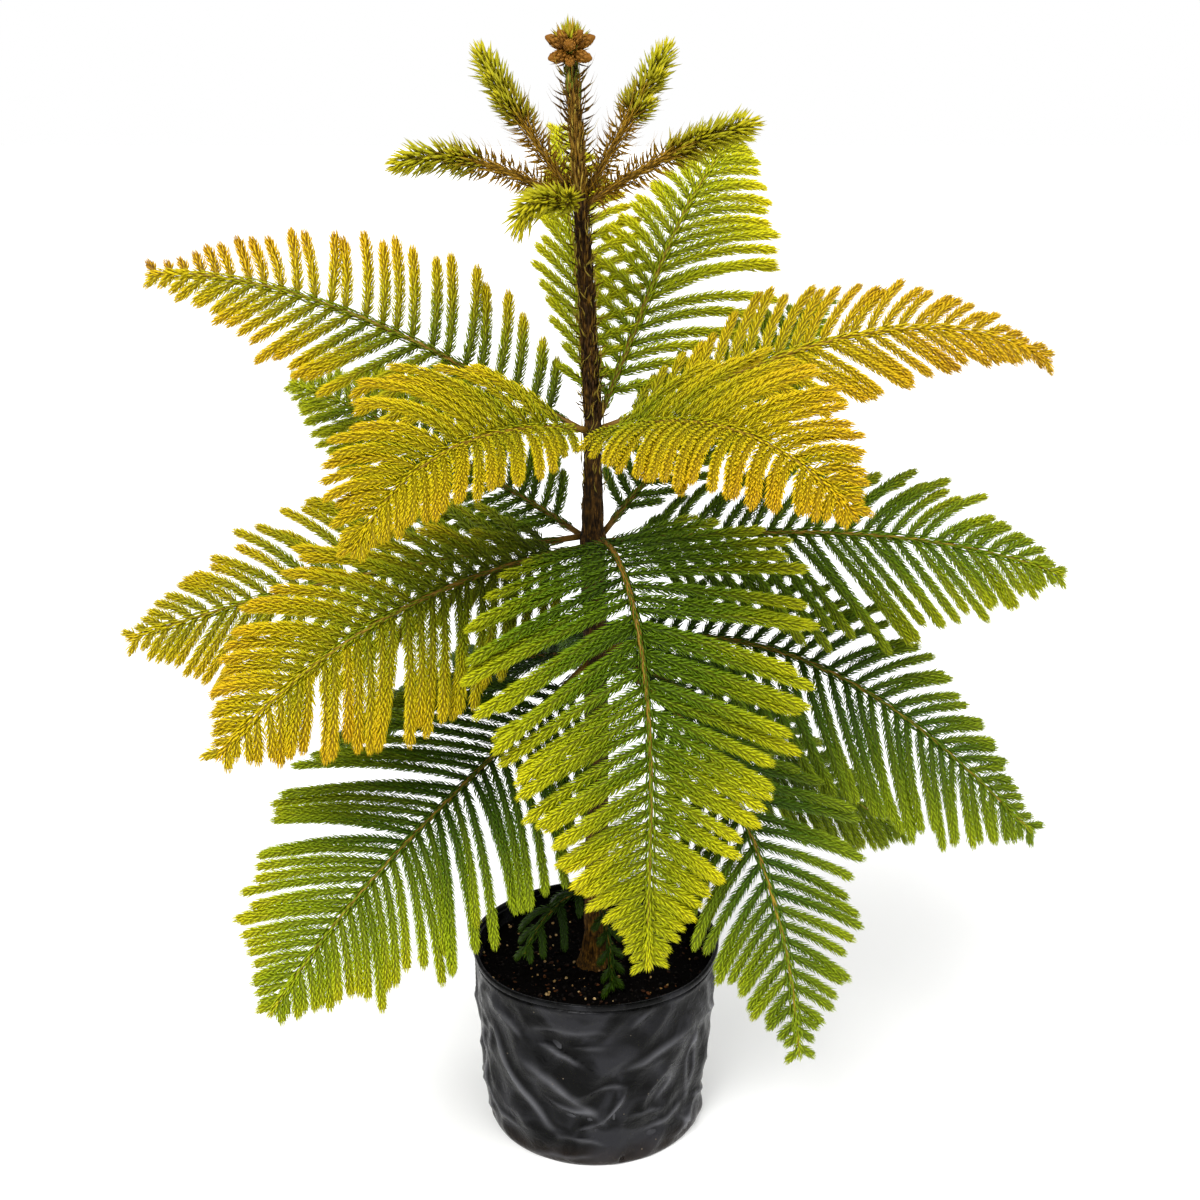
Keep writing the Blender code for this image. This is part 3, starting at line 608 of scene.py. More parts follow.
def between(array, rows, shares):
    """Values along each row of an array at shares from 0 to 1."""
    last = array.shape[1] - 1
    place = np.clip(shares, 0, 1) * last
    low = np.minimum(place.astype(int), last - 1)
    part = (place - low)[..., None]
    return array[rows, low] * (1 - part) + array[rows, low + 1] * part


def sample(frames, shares):
    return [between(a[None], np.zeros(len(shares), int), shares) for a in frames]


def copied(template, count):
    """The triangles of so many copies of a template."""
    points, faces = template
    return faces[None] + (np.arange(count) * len(points))[:, None, None]


def stamp_stems(store, template, points, headings, ups, thick, thin, tone_start, tone_end,
                strip=WOODY_STRIP, flatness=1.0):
    """Bends a copy of the stem along each row of points. Its map lies in the woody strip, or in the
    needles' colours at a strip near their roots, dark with their painted shade."""
    local = template[0]
    count = len(points)
    rows = np.repeat(np.arange(count), len(local))
    spot = np.tile(local, (count, 1))
    share = spot[:, 0]
    centre = between(points, rows, share)
    heading = unit(between(headings, rows, share))
    up = ups[rows]
    up = unit(up - heading * np.sum(up * heading, -1, keepdims=True))
    across = np.cross(up, heading)
    radius = thick + (thin - thick) * share[:, None]
    corners = centre + radius * (flatness * spot[:, 1:2] * across + spot[:, 2:3] * up)
    tone = np.clip(tone_start[rows] + (tone_end - tone_start)[rows] * share, 0.004, 0.996)
    turn = strip + 0.1 * (0.5 + 0.5 * spot[:, 1])
    index = copied(template, count)
    store.add(corners, index, np.stack([tone, turn], -1)[index])


def stamp_stem(store, template, line, headings, up, thick, thin, last_tone=1.0):
    """One woody stem along a line of points, with its upper side towards up."""
    stamp_stems(store, template, line[None], headings[None], up[None], thick, thin,
                np.zeros(1), np.full(1, last_tone))


def stamp_upright(store, template, line, thick, thin, last_tone=1.0):
    north = np.array([0.0, 1.0, 0.0])
    stamp_stem(store, template, line, np.tile(WORLD_UP, (len(line), 1)), north, thick, thin, last_tone)


def stamp_needles(store, template, roots, along, outward, lengths, leans, tones, widths=1.0):
    """Copies the needle to each root, leaning away from its stem. What is the same for all needles
    may be given once."""
    local = template[0]
    count = len(roots)
    along = np.broadcast_to(along, roots.shape)
    lengths, leans, tones, widths = (np.broadcast_to(v, count) for v in (lengths, leans, tones, widths))
    side = np.cross(along, outward)
    c, s = np.cos(leans)[:, None], np.sin(leans)[:, None]
    forward, back = c * along + s * outward, c * outward - s * along
    scale, broad = lengths[:, None, None], widths[:, None, None]
    corners = roots[:, None] + scale * (local[None, :, 0:1] * forward[:, None]
                                        + local[None, :, 1:2] * back[:, None]
                                        + broad * local[None, :, 2:3] * side[:, None])
    maps = np.empty((count, len(local), 2))
    maps[..., 0] = np.clip(tones, 0.006, 0.994)[:, None] + 0.002 * local[:, 0]
    # The two flanks lie a little apart on the map, so that no triangle of it is flat
    maps[..., 0] += 0.003 * np.sign(local[:, 2])
    maps[..., 1] = 0.02 + 0.76 * np.clip(local[:, 0], 0, 1)
    index = copied(template, count)
    store.add(corners, index, maps.reshape(-1, 2)[index])


def clothe(store, template, points, headings, ups, lengths, tone_start, tone_end, rng, spacing, needle,
           lean, core, shut_tip=True, roots_sunk=0.55, scatter=3.0, close_by=0.5, crowd=1.0, broad=1.0,
           step=GOLDEN_ANGLE):
    """Covers stems with needles. Each stem is a row of the same arrays. From one needle to the next
    it is one step round the stem, so a half turn gives a comb with two ranks. At a closed tip the
    needles are shorter and lean less, and crowd below 1 sets them closer there."""
    counts = np.maximum(6, (lengths / spacing).astype(int))
    rows = np.repeat(np.arange(len(lengths)), counts)
    order = np.concatenate([np.arange(n) for n in counts])
    share = ((order + 0.5) / counts[rows]) ** crowd
    heading = unit(between(headings, rows, share))
    up = unit(ups[rows] - heading * np.sum(ups[rows] * heading, -1, keepdims=True))
    across = np.cross(up, heading)
    turn = order * step + rng.normal(0, 0.1, len(rows))
    outward = np.cos(turn)[:, None] * across + np.sin(turn)[:, None] * up
    left_over = (1 - share) * lengths[rows]
    shut = np.clip(1 - left_over / (1.2 * needle), 0, 1) ** 1.6 if shut_tip else 0 * share
    leans = lean * (1.15 - 0.2 * share) * (1 - close_by * shut)
    leans = np.radians(leans + rng.normal(0, scatter, len(rows)))
    size = needle * (1 - 0.48 * shut) * rng.normal(1, 0.06, len(rows))
    size *= np.clip(0.9 + share * lengths[rows] / (60 * MM), 0.9, 1)
    tones = tone_start[rows] + (tone_end - tone_start)[rows] * share ** 1.7
    tones = tones + rng.normal(0, 0.03, len(rows))
    roots = between(points, rows, share) + outward * (roots_sunk * core)
    widths = broad * (0.95 + 0.25 * share)
    stamp_needles(store, template, roots, heading, outward, size, leans, tones, widths)


def clothe_part(store, template, frames, low, high, tones, length, rng, **needles):
    """Needles on one stretch of a stem, from share low to share high."""
    rings = 24
    line, headings, _, ups = sample(frames, np.linspace(low, high, rings))
    clothe(store, template, line[None], headings[None], ups[rings // 2][None],
           np.full(1, length * (high - low)), np.full(1, tones[0]), np.full(1, tones[1]), rng, **needles)


def outline_share(spec, distance):
    """A branchlet's length beside the frond's longest, at a distance along the midrib."""
    s = distance / spec["length"]
    first, widest, power = spec["outline"]
    rise = np.minimum(1, first + (1 - first) * (distance - spec["bare"]) / (0.2 * spec["length"]))
    return rise * (1 - (np.maximum(0, s - widest) / (1.02 - widest)) ** power)


def room(reach, angle, half_gap):
    """How long a branchlet may be before it reaches well into the next frond of its whorl."""
    spread = math.tan(math.radians(min(half_gap, 80)))
    closing = np.sin(angle) - np.cos(angle) * spread
    return np.where(closing <= 0.02, 1.0, 2.0 * reach * spread / np.maximum(closing, 0.02))


def grow_branchlets(spec, frames, half_gaps, rng):
    """A frond's branchlets: their points, headings, ups, lengths, places and sides."""
    first, last = spec["bare"] - 6 * MM, spec["length"] - 9 * MM
    count = round((last - first) / spec["gap"]) + 1
    x = np.linspace(0, 1, count)
    spread = x * 1.1 - 0.1 * x ** 2
    curves = []
    for number, side in enumerate((1, -1)):
        reach, hang = spec["reach"][number], spec["hang"][number]
        distance = first + (last - first) * spread + 0.25 * number * spec["gap"]
        distance = np.clip(distance + rng.normal(0, 0.9 * MM, count), first, spec["length"] - 5 * MM)
        s = distance / spec["length"]
        point, along, left, up = sample(frames, s)
        angle = BRANCHLET_ANGLE + spec["open_by"][number] - TIP_CLOSING * s
        angle = np.radians(angle + rng.normal(0, 1.9, count))
        # The frond's outline gives a length, and the space beside the next frond may cut it
        length = np.maximum(reach * outline_share(spec, np.maximum(distance, spec["bare"])), 17 * MM)
        radial = np.hypot(point[:, 0], point[:, 1])
        length = np.maximum(np.minimum(length, room(radial, angle, half_gaps[number])), 13 * MM)
        length = np.maximum(length * rng.normal(1, 0.055, count) - NEEDLE_REACH, SHORTEST_BRANCHLET)
        start = np.cos(angle)[:, None] * along + side * np.sin(angle)[:, None] * left + spec["lift"] * up
        start += rng.normal(0, 0.03, (count, 3))
        bent = hang * WORLD_UP + rng.normal(0, 0.045, (count, 3))
        walk, headings = [point], []
        for k in range(BRANCHLET_STEPS + 1):
            heading = unit(start + (k / BRANCHLET_STEPS) * (spec["sweep"] * along - bent))
            headings.append(heading)
            walk.append(walk[-1] + heading * (length / BRANCHLET_STEPS)[:, None])
        sides = np.full(count, number)
        curves.append((np.stack(walk[:-1], 1), np.stack(headings, 1), up, length, s, sides))
    return [np.concatenate(parts) for parts in zip(*curves)]


def build_frond(spec, half_gaps, tools, material, seed):
    rng = np.random.default_rng(seed)
    spec = dict(spec, length=spec["length"] - NEEDLE_REACH)
    frames = trace(spec)
    line, along, _, ups = frames
    store = Gathered()
    thickness = min(1, spec["length"] / FULL_LENGTH) * RACHIS_RADIUS
    stamp_stem(store, tools["midrib"], line, along, ups[len(ups) // 2], thickness, RACHIS_TIP_RADIUS)
    points, headings, ups, lengths, places, sides = grow_branchlets(spec, frames, half_gaps, rng)
    base, rise, gain = spec["tone"]
    start = base + rise * places ** 1.1 + np.array(spec["blush"])[sides] * places ** 2
    start = start + rng.normal(0, 0.03, len(start))
    end = start + gain * np.clip(lengths / (60 * MM), 0.4, 1)
    # The flat cores take the needles' painted root shade: a dark band of painted shade between the needles
    stamp_stems(store, tools["branchlet"], points, headings, ups, 0.75 * BRANCHLET_CORE, BRANCHLET_CORE,
                start, end, SHADED_CORE_STRIP, CORE_FLATNESS)
    for spacing, lean, step, broad in ((NEEDLE_SPACING, NEEDLE_LEAN, GOLDEN_ANGLE, 0.85),
                                       (COMB_SPACING, COMB_LEAN, math.pi, 0.95)):
        clothe(store, tools["needle"], points, headings, ups, lengths, start, end, rng, spacing,
               spec["needle"], lean, BRANCHLET_CORE, scatter=2.5, close_by=0.75, crowd=0.93, broad=broad,
               step=step)
    # The midrib's own needles lie close to it, and thicken to a tuft at its tip
    tip = base + rise
    clothe_part(store, tools["needle"], frames, 0.03, 0.94, (base, tip), spec["length"], rng,
                spacing=0.55 * MM, needle=RACHIS_SCALE, lean=11, core=thickness, shut_tip=False,
                roots_sunk=0.75, scatter=5.0)
    clothe_part(store, tools["needle"], frames, 0.9, 1.0, (tip, tip + 0.5 * gain), spec["length"], rng,
                spacing=0.4 * MM, needle=spec["needle"], lean=NEEDLE_LEAN, core=RACHIS_TIP_RADIUS)
    return store.make(spec["name"] + "_sprays", material)


def build_whorl(specs, tools, materials, seed):
    for index, spec in enumerate(specs):
        others = [(other["azimuth"] - spec["azimuth"]) % 360 for other in specs if other is not spec]
        half_gaps = (min(others) / 2, (360 - max(others)) / 2)
        piece = build_frond(spec, half_gaps, tools, materials[spec["kind"]], seed + index)
        hand_in(piece, spec["name"])


def build_shoot(spec, tools, material, seed):
    rng = np.random.default_rng(seed)
    frames = trace(spec, 48)
    line, along, _, ups = frames
    store = Gathered()
    stamp_stem(store, tools["midrib"], line, along, ups[len(ups) // 2], SHOOT_RADIUS, 0.6 * SHOOT_RADIUS)
    length, turn, broad = spec["length"], spec["turn"], spec["broad"]
    # Short scales along all of the stem, then its dry needles, then its young ones
    clothe_part(store, tools["needle"], frames, 0.02, 0.95, (0.1 if turn else 0.7, 0.85), length, rng,
                spacing=0.5 * MM, needle=0.55 * SHOOT_NEEDLE, lean=15, core=SHOOT_RADIUS, shut_tip=False,
                roots_sunk=0.75)
    if turn > 0:
        clothe_part(store, tools["dry"], frames, 0.02, turn + 0.15, (0.22, 0.54), length, rng,
                    spacing=0.5 * MM, needle=1.1 * SHOOT_NEEDLE, lean=56, core=SHOOT_RADIUS,
                    shut_tip=False, scatter=11.0)
    clothe_part(store, tools["young"], frames, turn, 1.0, (0.68 if turn else 0.78, 0.97), length, rng,
                spacing=0.32 * MM / broad, needle=spec["needle"], lean=spec["lean"],
                core=0.7 * SHOOT_RADIUS, scatter=8.0, broad=broad)
    # Side tufts
    shares, turns, sizes = (np.array(v, float) for v in zip(*spec["tufts"]))
    point, along, left, up = sample(frames, shares)
    aside = np.sin(np.radians(turns))[:, None] * left + np.cos(np.radians(turns))[:, None] * up
    steps = np.linspace(0, 1, 13)[None, :, None]
    start = unit(0.8 * along + aside)[:, None]
    headings = unit(start + steps * 0.5 * along[:, None])
    walk = np.cumsum(headings * (sizes * MM / 13)[:, None, None], axis=1)
    clothe(store, tools["young"], point[:, None] + walk, headings, np.cross(along, aside), sizes * MM,
           np.full(len(sizes), 0.7), np.full(len(sizes), 0.98), rng, spacing=0.5 * MM,
           needle=0.85 * SHOOT_NEEDLE, lean=38, core=1.5 * MM)
    hand_in(store.make(spec["name"] + "_needles", material), spec["name"])


def rolled_grid(name, columns, rows, place, material):
    """A grid primitive rolled up into a closed shape. place gives the corner for a turn round
    the axis and a run along the profile, both from 0 to 1."""
    piece = add_primitive(bpy.ops.mesh.primitive_grid_add, x_subdivisions=columns, y_subdivisions=rows,
                          size=1)
    piece.name = piece.data.name = name
    mesh = piece.data
    flat = np.empty(len(mesh.vertices) * 3, np.float32)
    mesh.vertices.foreach_get("co", flat)
    flat = flat.reshape(-1, 3) + 0.5
    mesh.vertices.foreach_set("co", place(flat[:, 0], flat[:, 1]).astype(np.float32).ravel())
    mesh.uv_layers[0].name = "OFBake"
    edit_on()
    bpy.ops.mesh.remove_doubles(threshold=0.01 * MM)
    bpy.ops.object.mode_set(mode="OBJECT")
    bpy.ops.object.shade_smooth()
    mesh.materials.append(material)
    return piece


def smooth_noise(points, size, seed, detail=0):
    """Noise from about -1 to 1, with features of the given size and so many finer layers."""
    shift = Vector((seed * 7.3, seed * 3.1, seed * 5.7))
    if detail:
        return np.array([noise.fractal(Vector(p) / size + shift, 0.9, 2.1, detail) for p in points])
    return np.array([noise.noise(Vector(p) / size + shift) for p in points])


# The bag's creases as soft ridges on its wall. Each runs from a start past a middle point to
# an end, given as degrees round the bag and millimetres up it, then its height and half-width.
CREASES = [
    ((211, 117), (226, 71), (252, 29), 2.0, 4.0), ((234, 95), (256, 76), (274, 45), 1.5, 6.0),
    ((285, 71), (281, 57), (274, 44), 1.8, 1.8), ((274, 44), (265, 38), (256, 30), 1.0, 2.0),
    ((319, 113), (302, 104), (284, 90), 1.3, 4.0), ((328, 105), (318, 85), (325, 43), 1.8, 3.5),
    ((324, 39), (311, 30), (295, 28), 1.3, 3.0), ((333, 32), (327, 13), (313, 10), 1.4, 3.0),
    ((233, 123), (258, 130), (277, 129), 0.9, 4.0), ((250, 120), (265, 111), (277, 115), 0.9, 3.0),
    ((240, 111), (254, 110), (264, 99), 1.6, 3.5), ((262, 69), (275, 83), (288, 74), 1.0, 3.0),
    ((241, 66), (257, 52), (270, 54), 1.3, 3.0), ((285, 47), (297, 51), (311, 41), 0.9, 2.5),
    ((208, 113), (211, 94), (203, 71), 1.5, 3.0), ((194, 64), (202, 32), (231, 22), 1.7, 3.5),
    ((252, 27), (264, 30), (276, 21), 1.2, 2.5), ((236, 6), (256, 9), (271, 12), 1.0, 2.5),
    ((216, 133), (229, 126), (236, 110), 1.4, 3.5), ((300, 144), (292, 140), (286, 130), 0.9, 3.0),
    ((307, 82), (318, 66), (299, 50), 1.2, 3.5), ((204, 140), (207, 128), (203, 118), 1.2, 3.0),
]
# The creases on the bag's front come again as two copies further round, one of them mirrored
CREASE_ROUNDS = ((0, 1), (122, -1), (236, 1))
FRONT_AZIMUTH = 264
LIP_HEIGHT = 4.6 * MM
LIP_THICKNESS = 3.6 * MM
LIP_BULGE = 1.6 * MM
GROOVE_DEPTH = 2.4 * MM
# Within this radius the bag is flat floor, and past the second one it is wall
FLAT_FLOOR = 60 * MM
WALL_START = 80 * MM


def wall_radius(height):
    return BASE_RADIUS + (RIM_RADIUS - BASE_RADIUS) * height / BAG_HEIGHT


def crease_relief(turn, height):
    """How far the creased wall stands out at a share of a turn and a height. A crease has a
    sharp ridge, steeper on one side, with a shallow trough beside it."""
    width = math.tau * MEAN_RADIUS
    relief = np.zeros(len(turn))
    t = np.linspace(0, 1, 9)[:, None]
    for shift, way in CREASE_ROUNDS:
        for start, middle, end, rise, half in CREASES:
            start, middle, end = np.array(start), np.array(middle), np.array(end)
            line = (1 - t) ** 2 * start + 2 * t * (1 - t) * middle + t ** 2 * end
            first = ((FRONT_AZIMUTH + way * (line[0, 0] - FRONT_AZIMUTH) + shift) % 360) / 360
            path = np.stack([way * (line[:, 0] - line[0, 0]) / 360 * width, line[:, 1] * MM], 1)
            away = np.stack([((turn - first + 0.5) % 1 - 0.5) * width, height], 1)
            step = path[1:] - path[:-1]
            offset = away[:, None] - path[None, :-1]
            share = np.clip((offset * step).sum(-1) / (step ** 2).sum(-1), 0, 1)
            gap = np.linalg.norm(offset - share[..., None] * step, axis=-1)
            near = gap.argmin(1)
            rows = np.arange(len(turn))
            reach = gap[rows, near] / (half * MM)
            side = step[near, 0] * offset[rows, near, 1] - step[near, 1] * offset[rows, near, 0]
            along = (near + share[rows, near]) / len(step)
            steep = 1.3 + 0.45 * way * np.tanh(side / MM ** 2)
            ends = np.sin(np.clip(along, 0.03, 0.97) * math.pi) ** 0.6
            ridge = np.exp(0.25 - np.hypot(reach, 0.25) * steep)
            trough = 0.4 * np.exp(-((reach - 2.4) / 1.5) ** 2)
            relief += rise * MM * ends * (ridge - trough)
    return relief


def bag_relief(turn, height):
    """Creases, wide waves and slanting folds, which end below the rim and above the foot."""
    spots = level_way(turn * math.tau) * MEAN_RADIUS + height[:, None] * WORLD_UP
    slant = spots + WORLD_UP * (0.6 * MEAN_RADIUS * np.sin(turn * math.tau * 2))[:, None]
    waves = 4.0 * MM * smooth_noise(spots, 44 * MM, 1)
    folds = 4.0 * MM * (0.5 - 2 * np.hypot(smooth_noise(slant, 34 * MM, 2), 0.07))
    free = np.clip((BAG_HEIGHT - 8 * MM - height) / (10 * MM), 0, 1) * np.clip(height / (10 * MM), 0, 1)
    return free * (1.15 * crease_relief(turn, height) + waves + folds)


def build_bag():
    """Floor, creased wall, groove, rolled lip, and back down the inside. Each point of the profile
    is a radius and a height."""
    top, groove = BAG_HEIGHT, BAG_HEIGHT - LIP_HEIGHT - 1.2 * MM
    outside = [(0, 0.6), (60, 0.5), (86, 0.2), (88.6, 0.9), (89.6, 3.0)]
    outside = [(r * MM, h * MM) for r, h in outside]
    wall = [(wall_radius(h), h) for h in np.linspace(6 * MM, groove - 6 * MM, 92)]
    hem = [(wall_radius(groove) + out, groove + up * MM)
           for out, up in ((0.2 * MM, -4), (0.7 * MM, -2), (0.5 * MM, -1.1), (-GROOVE_DEPTH, -0.3),
                           (-GROOVE_DEPTH, 0.5))]
    lip_middle = (wall_radius(top) + LIP_BULGE - LIP_THICKNESS / 2, top - LIP_HEIGHT / 2)
    bead = np.radians(np.linspace(-55, 240, 17))
    lip = [(lip_middle[0] + LIP_THICKNESS / 2 * np.sign(c) * abs(c) ** 0.7,
            lip_middle[1] + LIP_HEIGHT / 2 * np.sign(s) * abs(s) ** 0.7)
           for c, s in zip(np.cos(bead), np.sin(bead))]
    inside = [(wall_radius(h) - BAG_WALL, h) for h in np.linspace(groove - 4 * MM, 3 * MM, 12)]
    profile = np.array(outside + wall + hem + lip + inside + [(0, 3 * MM)])
    inner_start = len(outside + wall + hem + lip) - 4

    def place(turn, run):
        step = run * (len(profile) - 1)
        low = np.minimum(np.round(step).astype(int), len(profile) - 1)
        radius, height = profile[low, 0], profile[low, 1]
        push = np.where(radius < FLAT_FLOOR, 0, bag_relief(turn, height))
        ripple = 0.5 * MM * np.sin(turn * math.tau * 3 + 1) + 0.35 * MM * np.sin(turn * math.tau * 7)
        rim = np.clip((height - 120 * MM) / (30 * MM), 0, 1)
        radius = radius + push + rim * ripple
        droop = rim * 0.9 * MM * np.sin(turn * math.tau * 4 + 2) - rim * 0.9 * MM
        # Small dents where the drain holes are
        for azimuth in DRAIN_AZIMUTHS:
            away = (turn - azimuth / 360 + 0.5) % 1 - 0.5
            gap = np.hypot(away * math.tau * BASE_RADIUS, height - DRAIN_HEIGHT)
            dent = 2.4 * MM * np.clip(1.6 - gap / (2.2 * MM), 0, 1)
            radius = np.where((low < inner_start) & (radius > WALL_START), radius - dent, radius)
        return level_way(turn * math.tau) * radius[:, None] + WORLD_UP * (height + droop)[:, None]

    piece = rolled_grid("creased_nursery_bag", 360, len(profile) - 1, place, bag_material())
    spots = np.array([v.co for v in piece.data.vertices])
    turn = np.arctan2(spots[:, 1], spots[:, 0]) / math.tau % 1
    # Where the painted highlight lies, along the creases' crests
    ridge = np.clip(crease_relief(turn, spots[:, 2]) / (1.6 * MM), 0, 1) ** 1.5
    ridge *= np.hypot(spots[:, 0], spots[:, 1]) > WALL_START
    piece.data.attributes.new("ridge", "FLOAT", "POINT").data.foreach_set("value", ridge)
    hand_in(piece, "grow_bag")


def soil_height(x, y):
    spots = np.stack([x, y, 0 * x], 1)
    mound = 3 * MM * np.exp(-(np.hypot(x, y) / (26 * MM)) ** 2)
    dish = 2.5 * MM * np.clip(np.hypot(x, y) / (90 * MM), 0, 1) ** 6
    return (SOIL_LEVEL + mound + dish + 2.2 * MM * smooth_noise(spots, 22 * MM, 3)
            + 1.5 * MM * smooth_noise(spots, 6 * MM, 4, 3))


def build_soil():
    edge = wall_radius(SOIL_LEVEL) - BAG_WALL - 0.6 * MM
    foot = wall_radius(4 * MM) - BAG_WALL - 7 * MM
    hole = TRUNK_RADIUS + 0.6 * MM
    outside = [(0, 4 * MM), (foot, 4 * MM), (edge - 7 * MM, SOIL_LEVEL - 12 * MM)]
    top = [(r, SOIL_LEVEL) for r in np.linspace(edge, hole, 56)]
    bottom = SOIL_LEVEL - STEM_HOLE_DEPTH
    profile = np.array(outside + top + [(hole, bottom), (0, bottom)])

    def place(turn, run):
        low = np.round(run * (len(profile) - 1)).astype(int)
        radius, height = profile[low, 0], profile[low, 1]
        is_top = (low >= len(outside)) & (low < len(outside) + len(top))
        follow = np.clip((radius - 60 * MM) / (30 * MM), 0, 1) * bag_relief(turn, 0 * turn + SOIL_LEVEL)
        radius = np.where(is_top, radius + follow, radius)
        x, y = radius * np.cos(turn * math.tau), radius * np.sin(turn * math.tau)
        height = np.where(is_top, soil_height(x, y), height)
        return np.stack([x, y, height], 1)

    piece = rolled_grid("potting_mix", 160, len(profile) - 1, place, soil_material())
    hand_in(piece, "soil")


GRIT_DIRECTION = math.radians(245)


def turned(first, second, angle):
    """Two coordinates after a turn in their plane."""
    c, s = np.cos(angle), np.sin(angle)
    return c * first - s * second, s * first + c * second


def build_crumbs(template, material):
    """Peat crumbs, bark chips and tan grit lying on the mix. Each row has their count, sizes in
    millimetres, flatness, tones, and the share that lies towards the front."""
    rng = np.random.default_rng(7)
    local, faces = template
    store = Gathered()
    for count, sizes, flat, tones, front in ((900, (1.2, 3.2), (0.6, 1.0), (0.0, 0.52), 0.0),
                                             (220, (1.6, 5.5), (0.14, 0.34), (0.4, 0.72), 0.3),
                                             (90, (1.6, 3.2), (0.7, 1.0), (0.84, 1.0), 0.35)):
        radius = np.sqrt(rng.uniform((13 * MM) ** 2, (94 * MM) ** 2, count))
        turn = rng.uniform(0, math.tau, count)
        forward = rng.uniform(0, 1, count) < front
        turn = np.where(forward, GRIT_DIRECTION + rng.normal(0, 0.75, count), turn)
        x, y = radius * np.cos(turn), radius * np.sin(turn)
        size = rng.uniform(*sizes, count) * MM
        squat = rng.uniform(*flat, count)
        z = soil_height(x, y) + 0.25 * size * squat
        shape = local[None] * np.stack([np.ones(count), rng.uniform(0.45, 0.9, count), squat], 1)[:, None]
        shape = shape + rng.normal(0, 0.05, shape.shape) * squat[:, None, None]
        yaw, pitch = rng.uniform(0, math.tau, count)[:, None], rng.normal(0, 0.35, count)[:, None]
        tilted, up = turned(shape[..., 0], shape[..., 2], pitch)
        corners = np.stack([*turned(tilted, shape[..., 1], yaw), up], -1)
        corners = corners * size[:, None, None] + np.stack([x, y, z], 1)[:, None]
        tone = rng.uniform(*tones, count)[:, None, None]
        maps = np.empty((count, len(faces), 3, 2))
        maps[..., 0] = np.clip(tone + np.array([0, 0.01, 0.005]), 0.002, 0.998)
        maps[..., 1] = np.linspace(0.01, 0.99, len(faces))[None, :, None] * np.array([1.0, 0.99, 0.98])
        store.add(corners, copied(template, count), maps)
    hand_in(store.make("soil_crumbs", material))


def bark_relief(points, height):
    coarse = 0.9 * MM * smooth_noise(points * np.array([1, 1, 0.3]), 7 * MM, 5, 3)
    rings = 0.5 * MM * smooth_noise(points, 12 * MM, 6)
    old = np.clip((TOP_WHORL - height) / (200 * MM), 0.25, 1)
    return old * (coarse + rings)


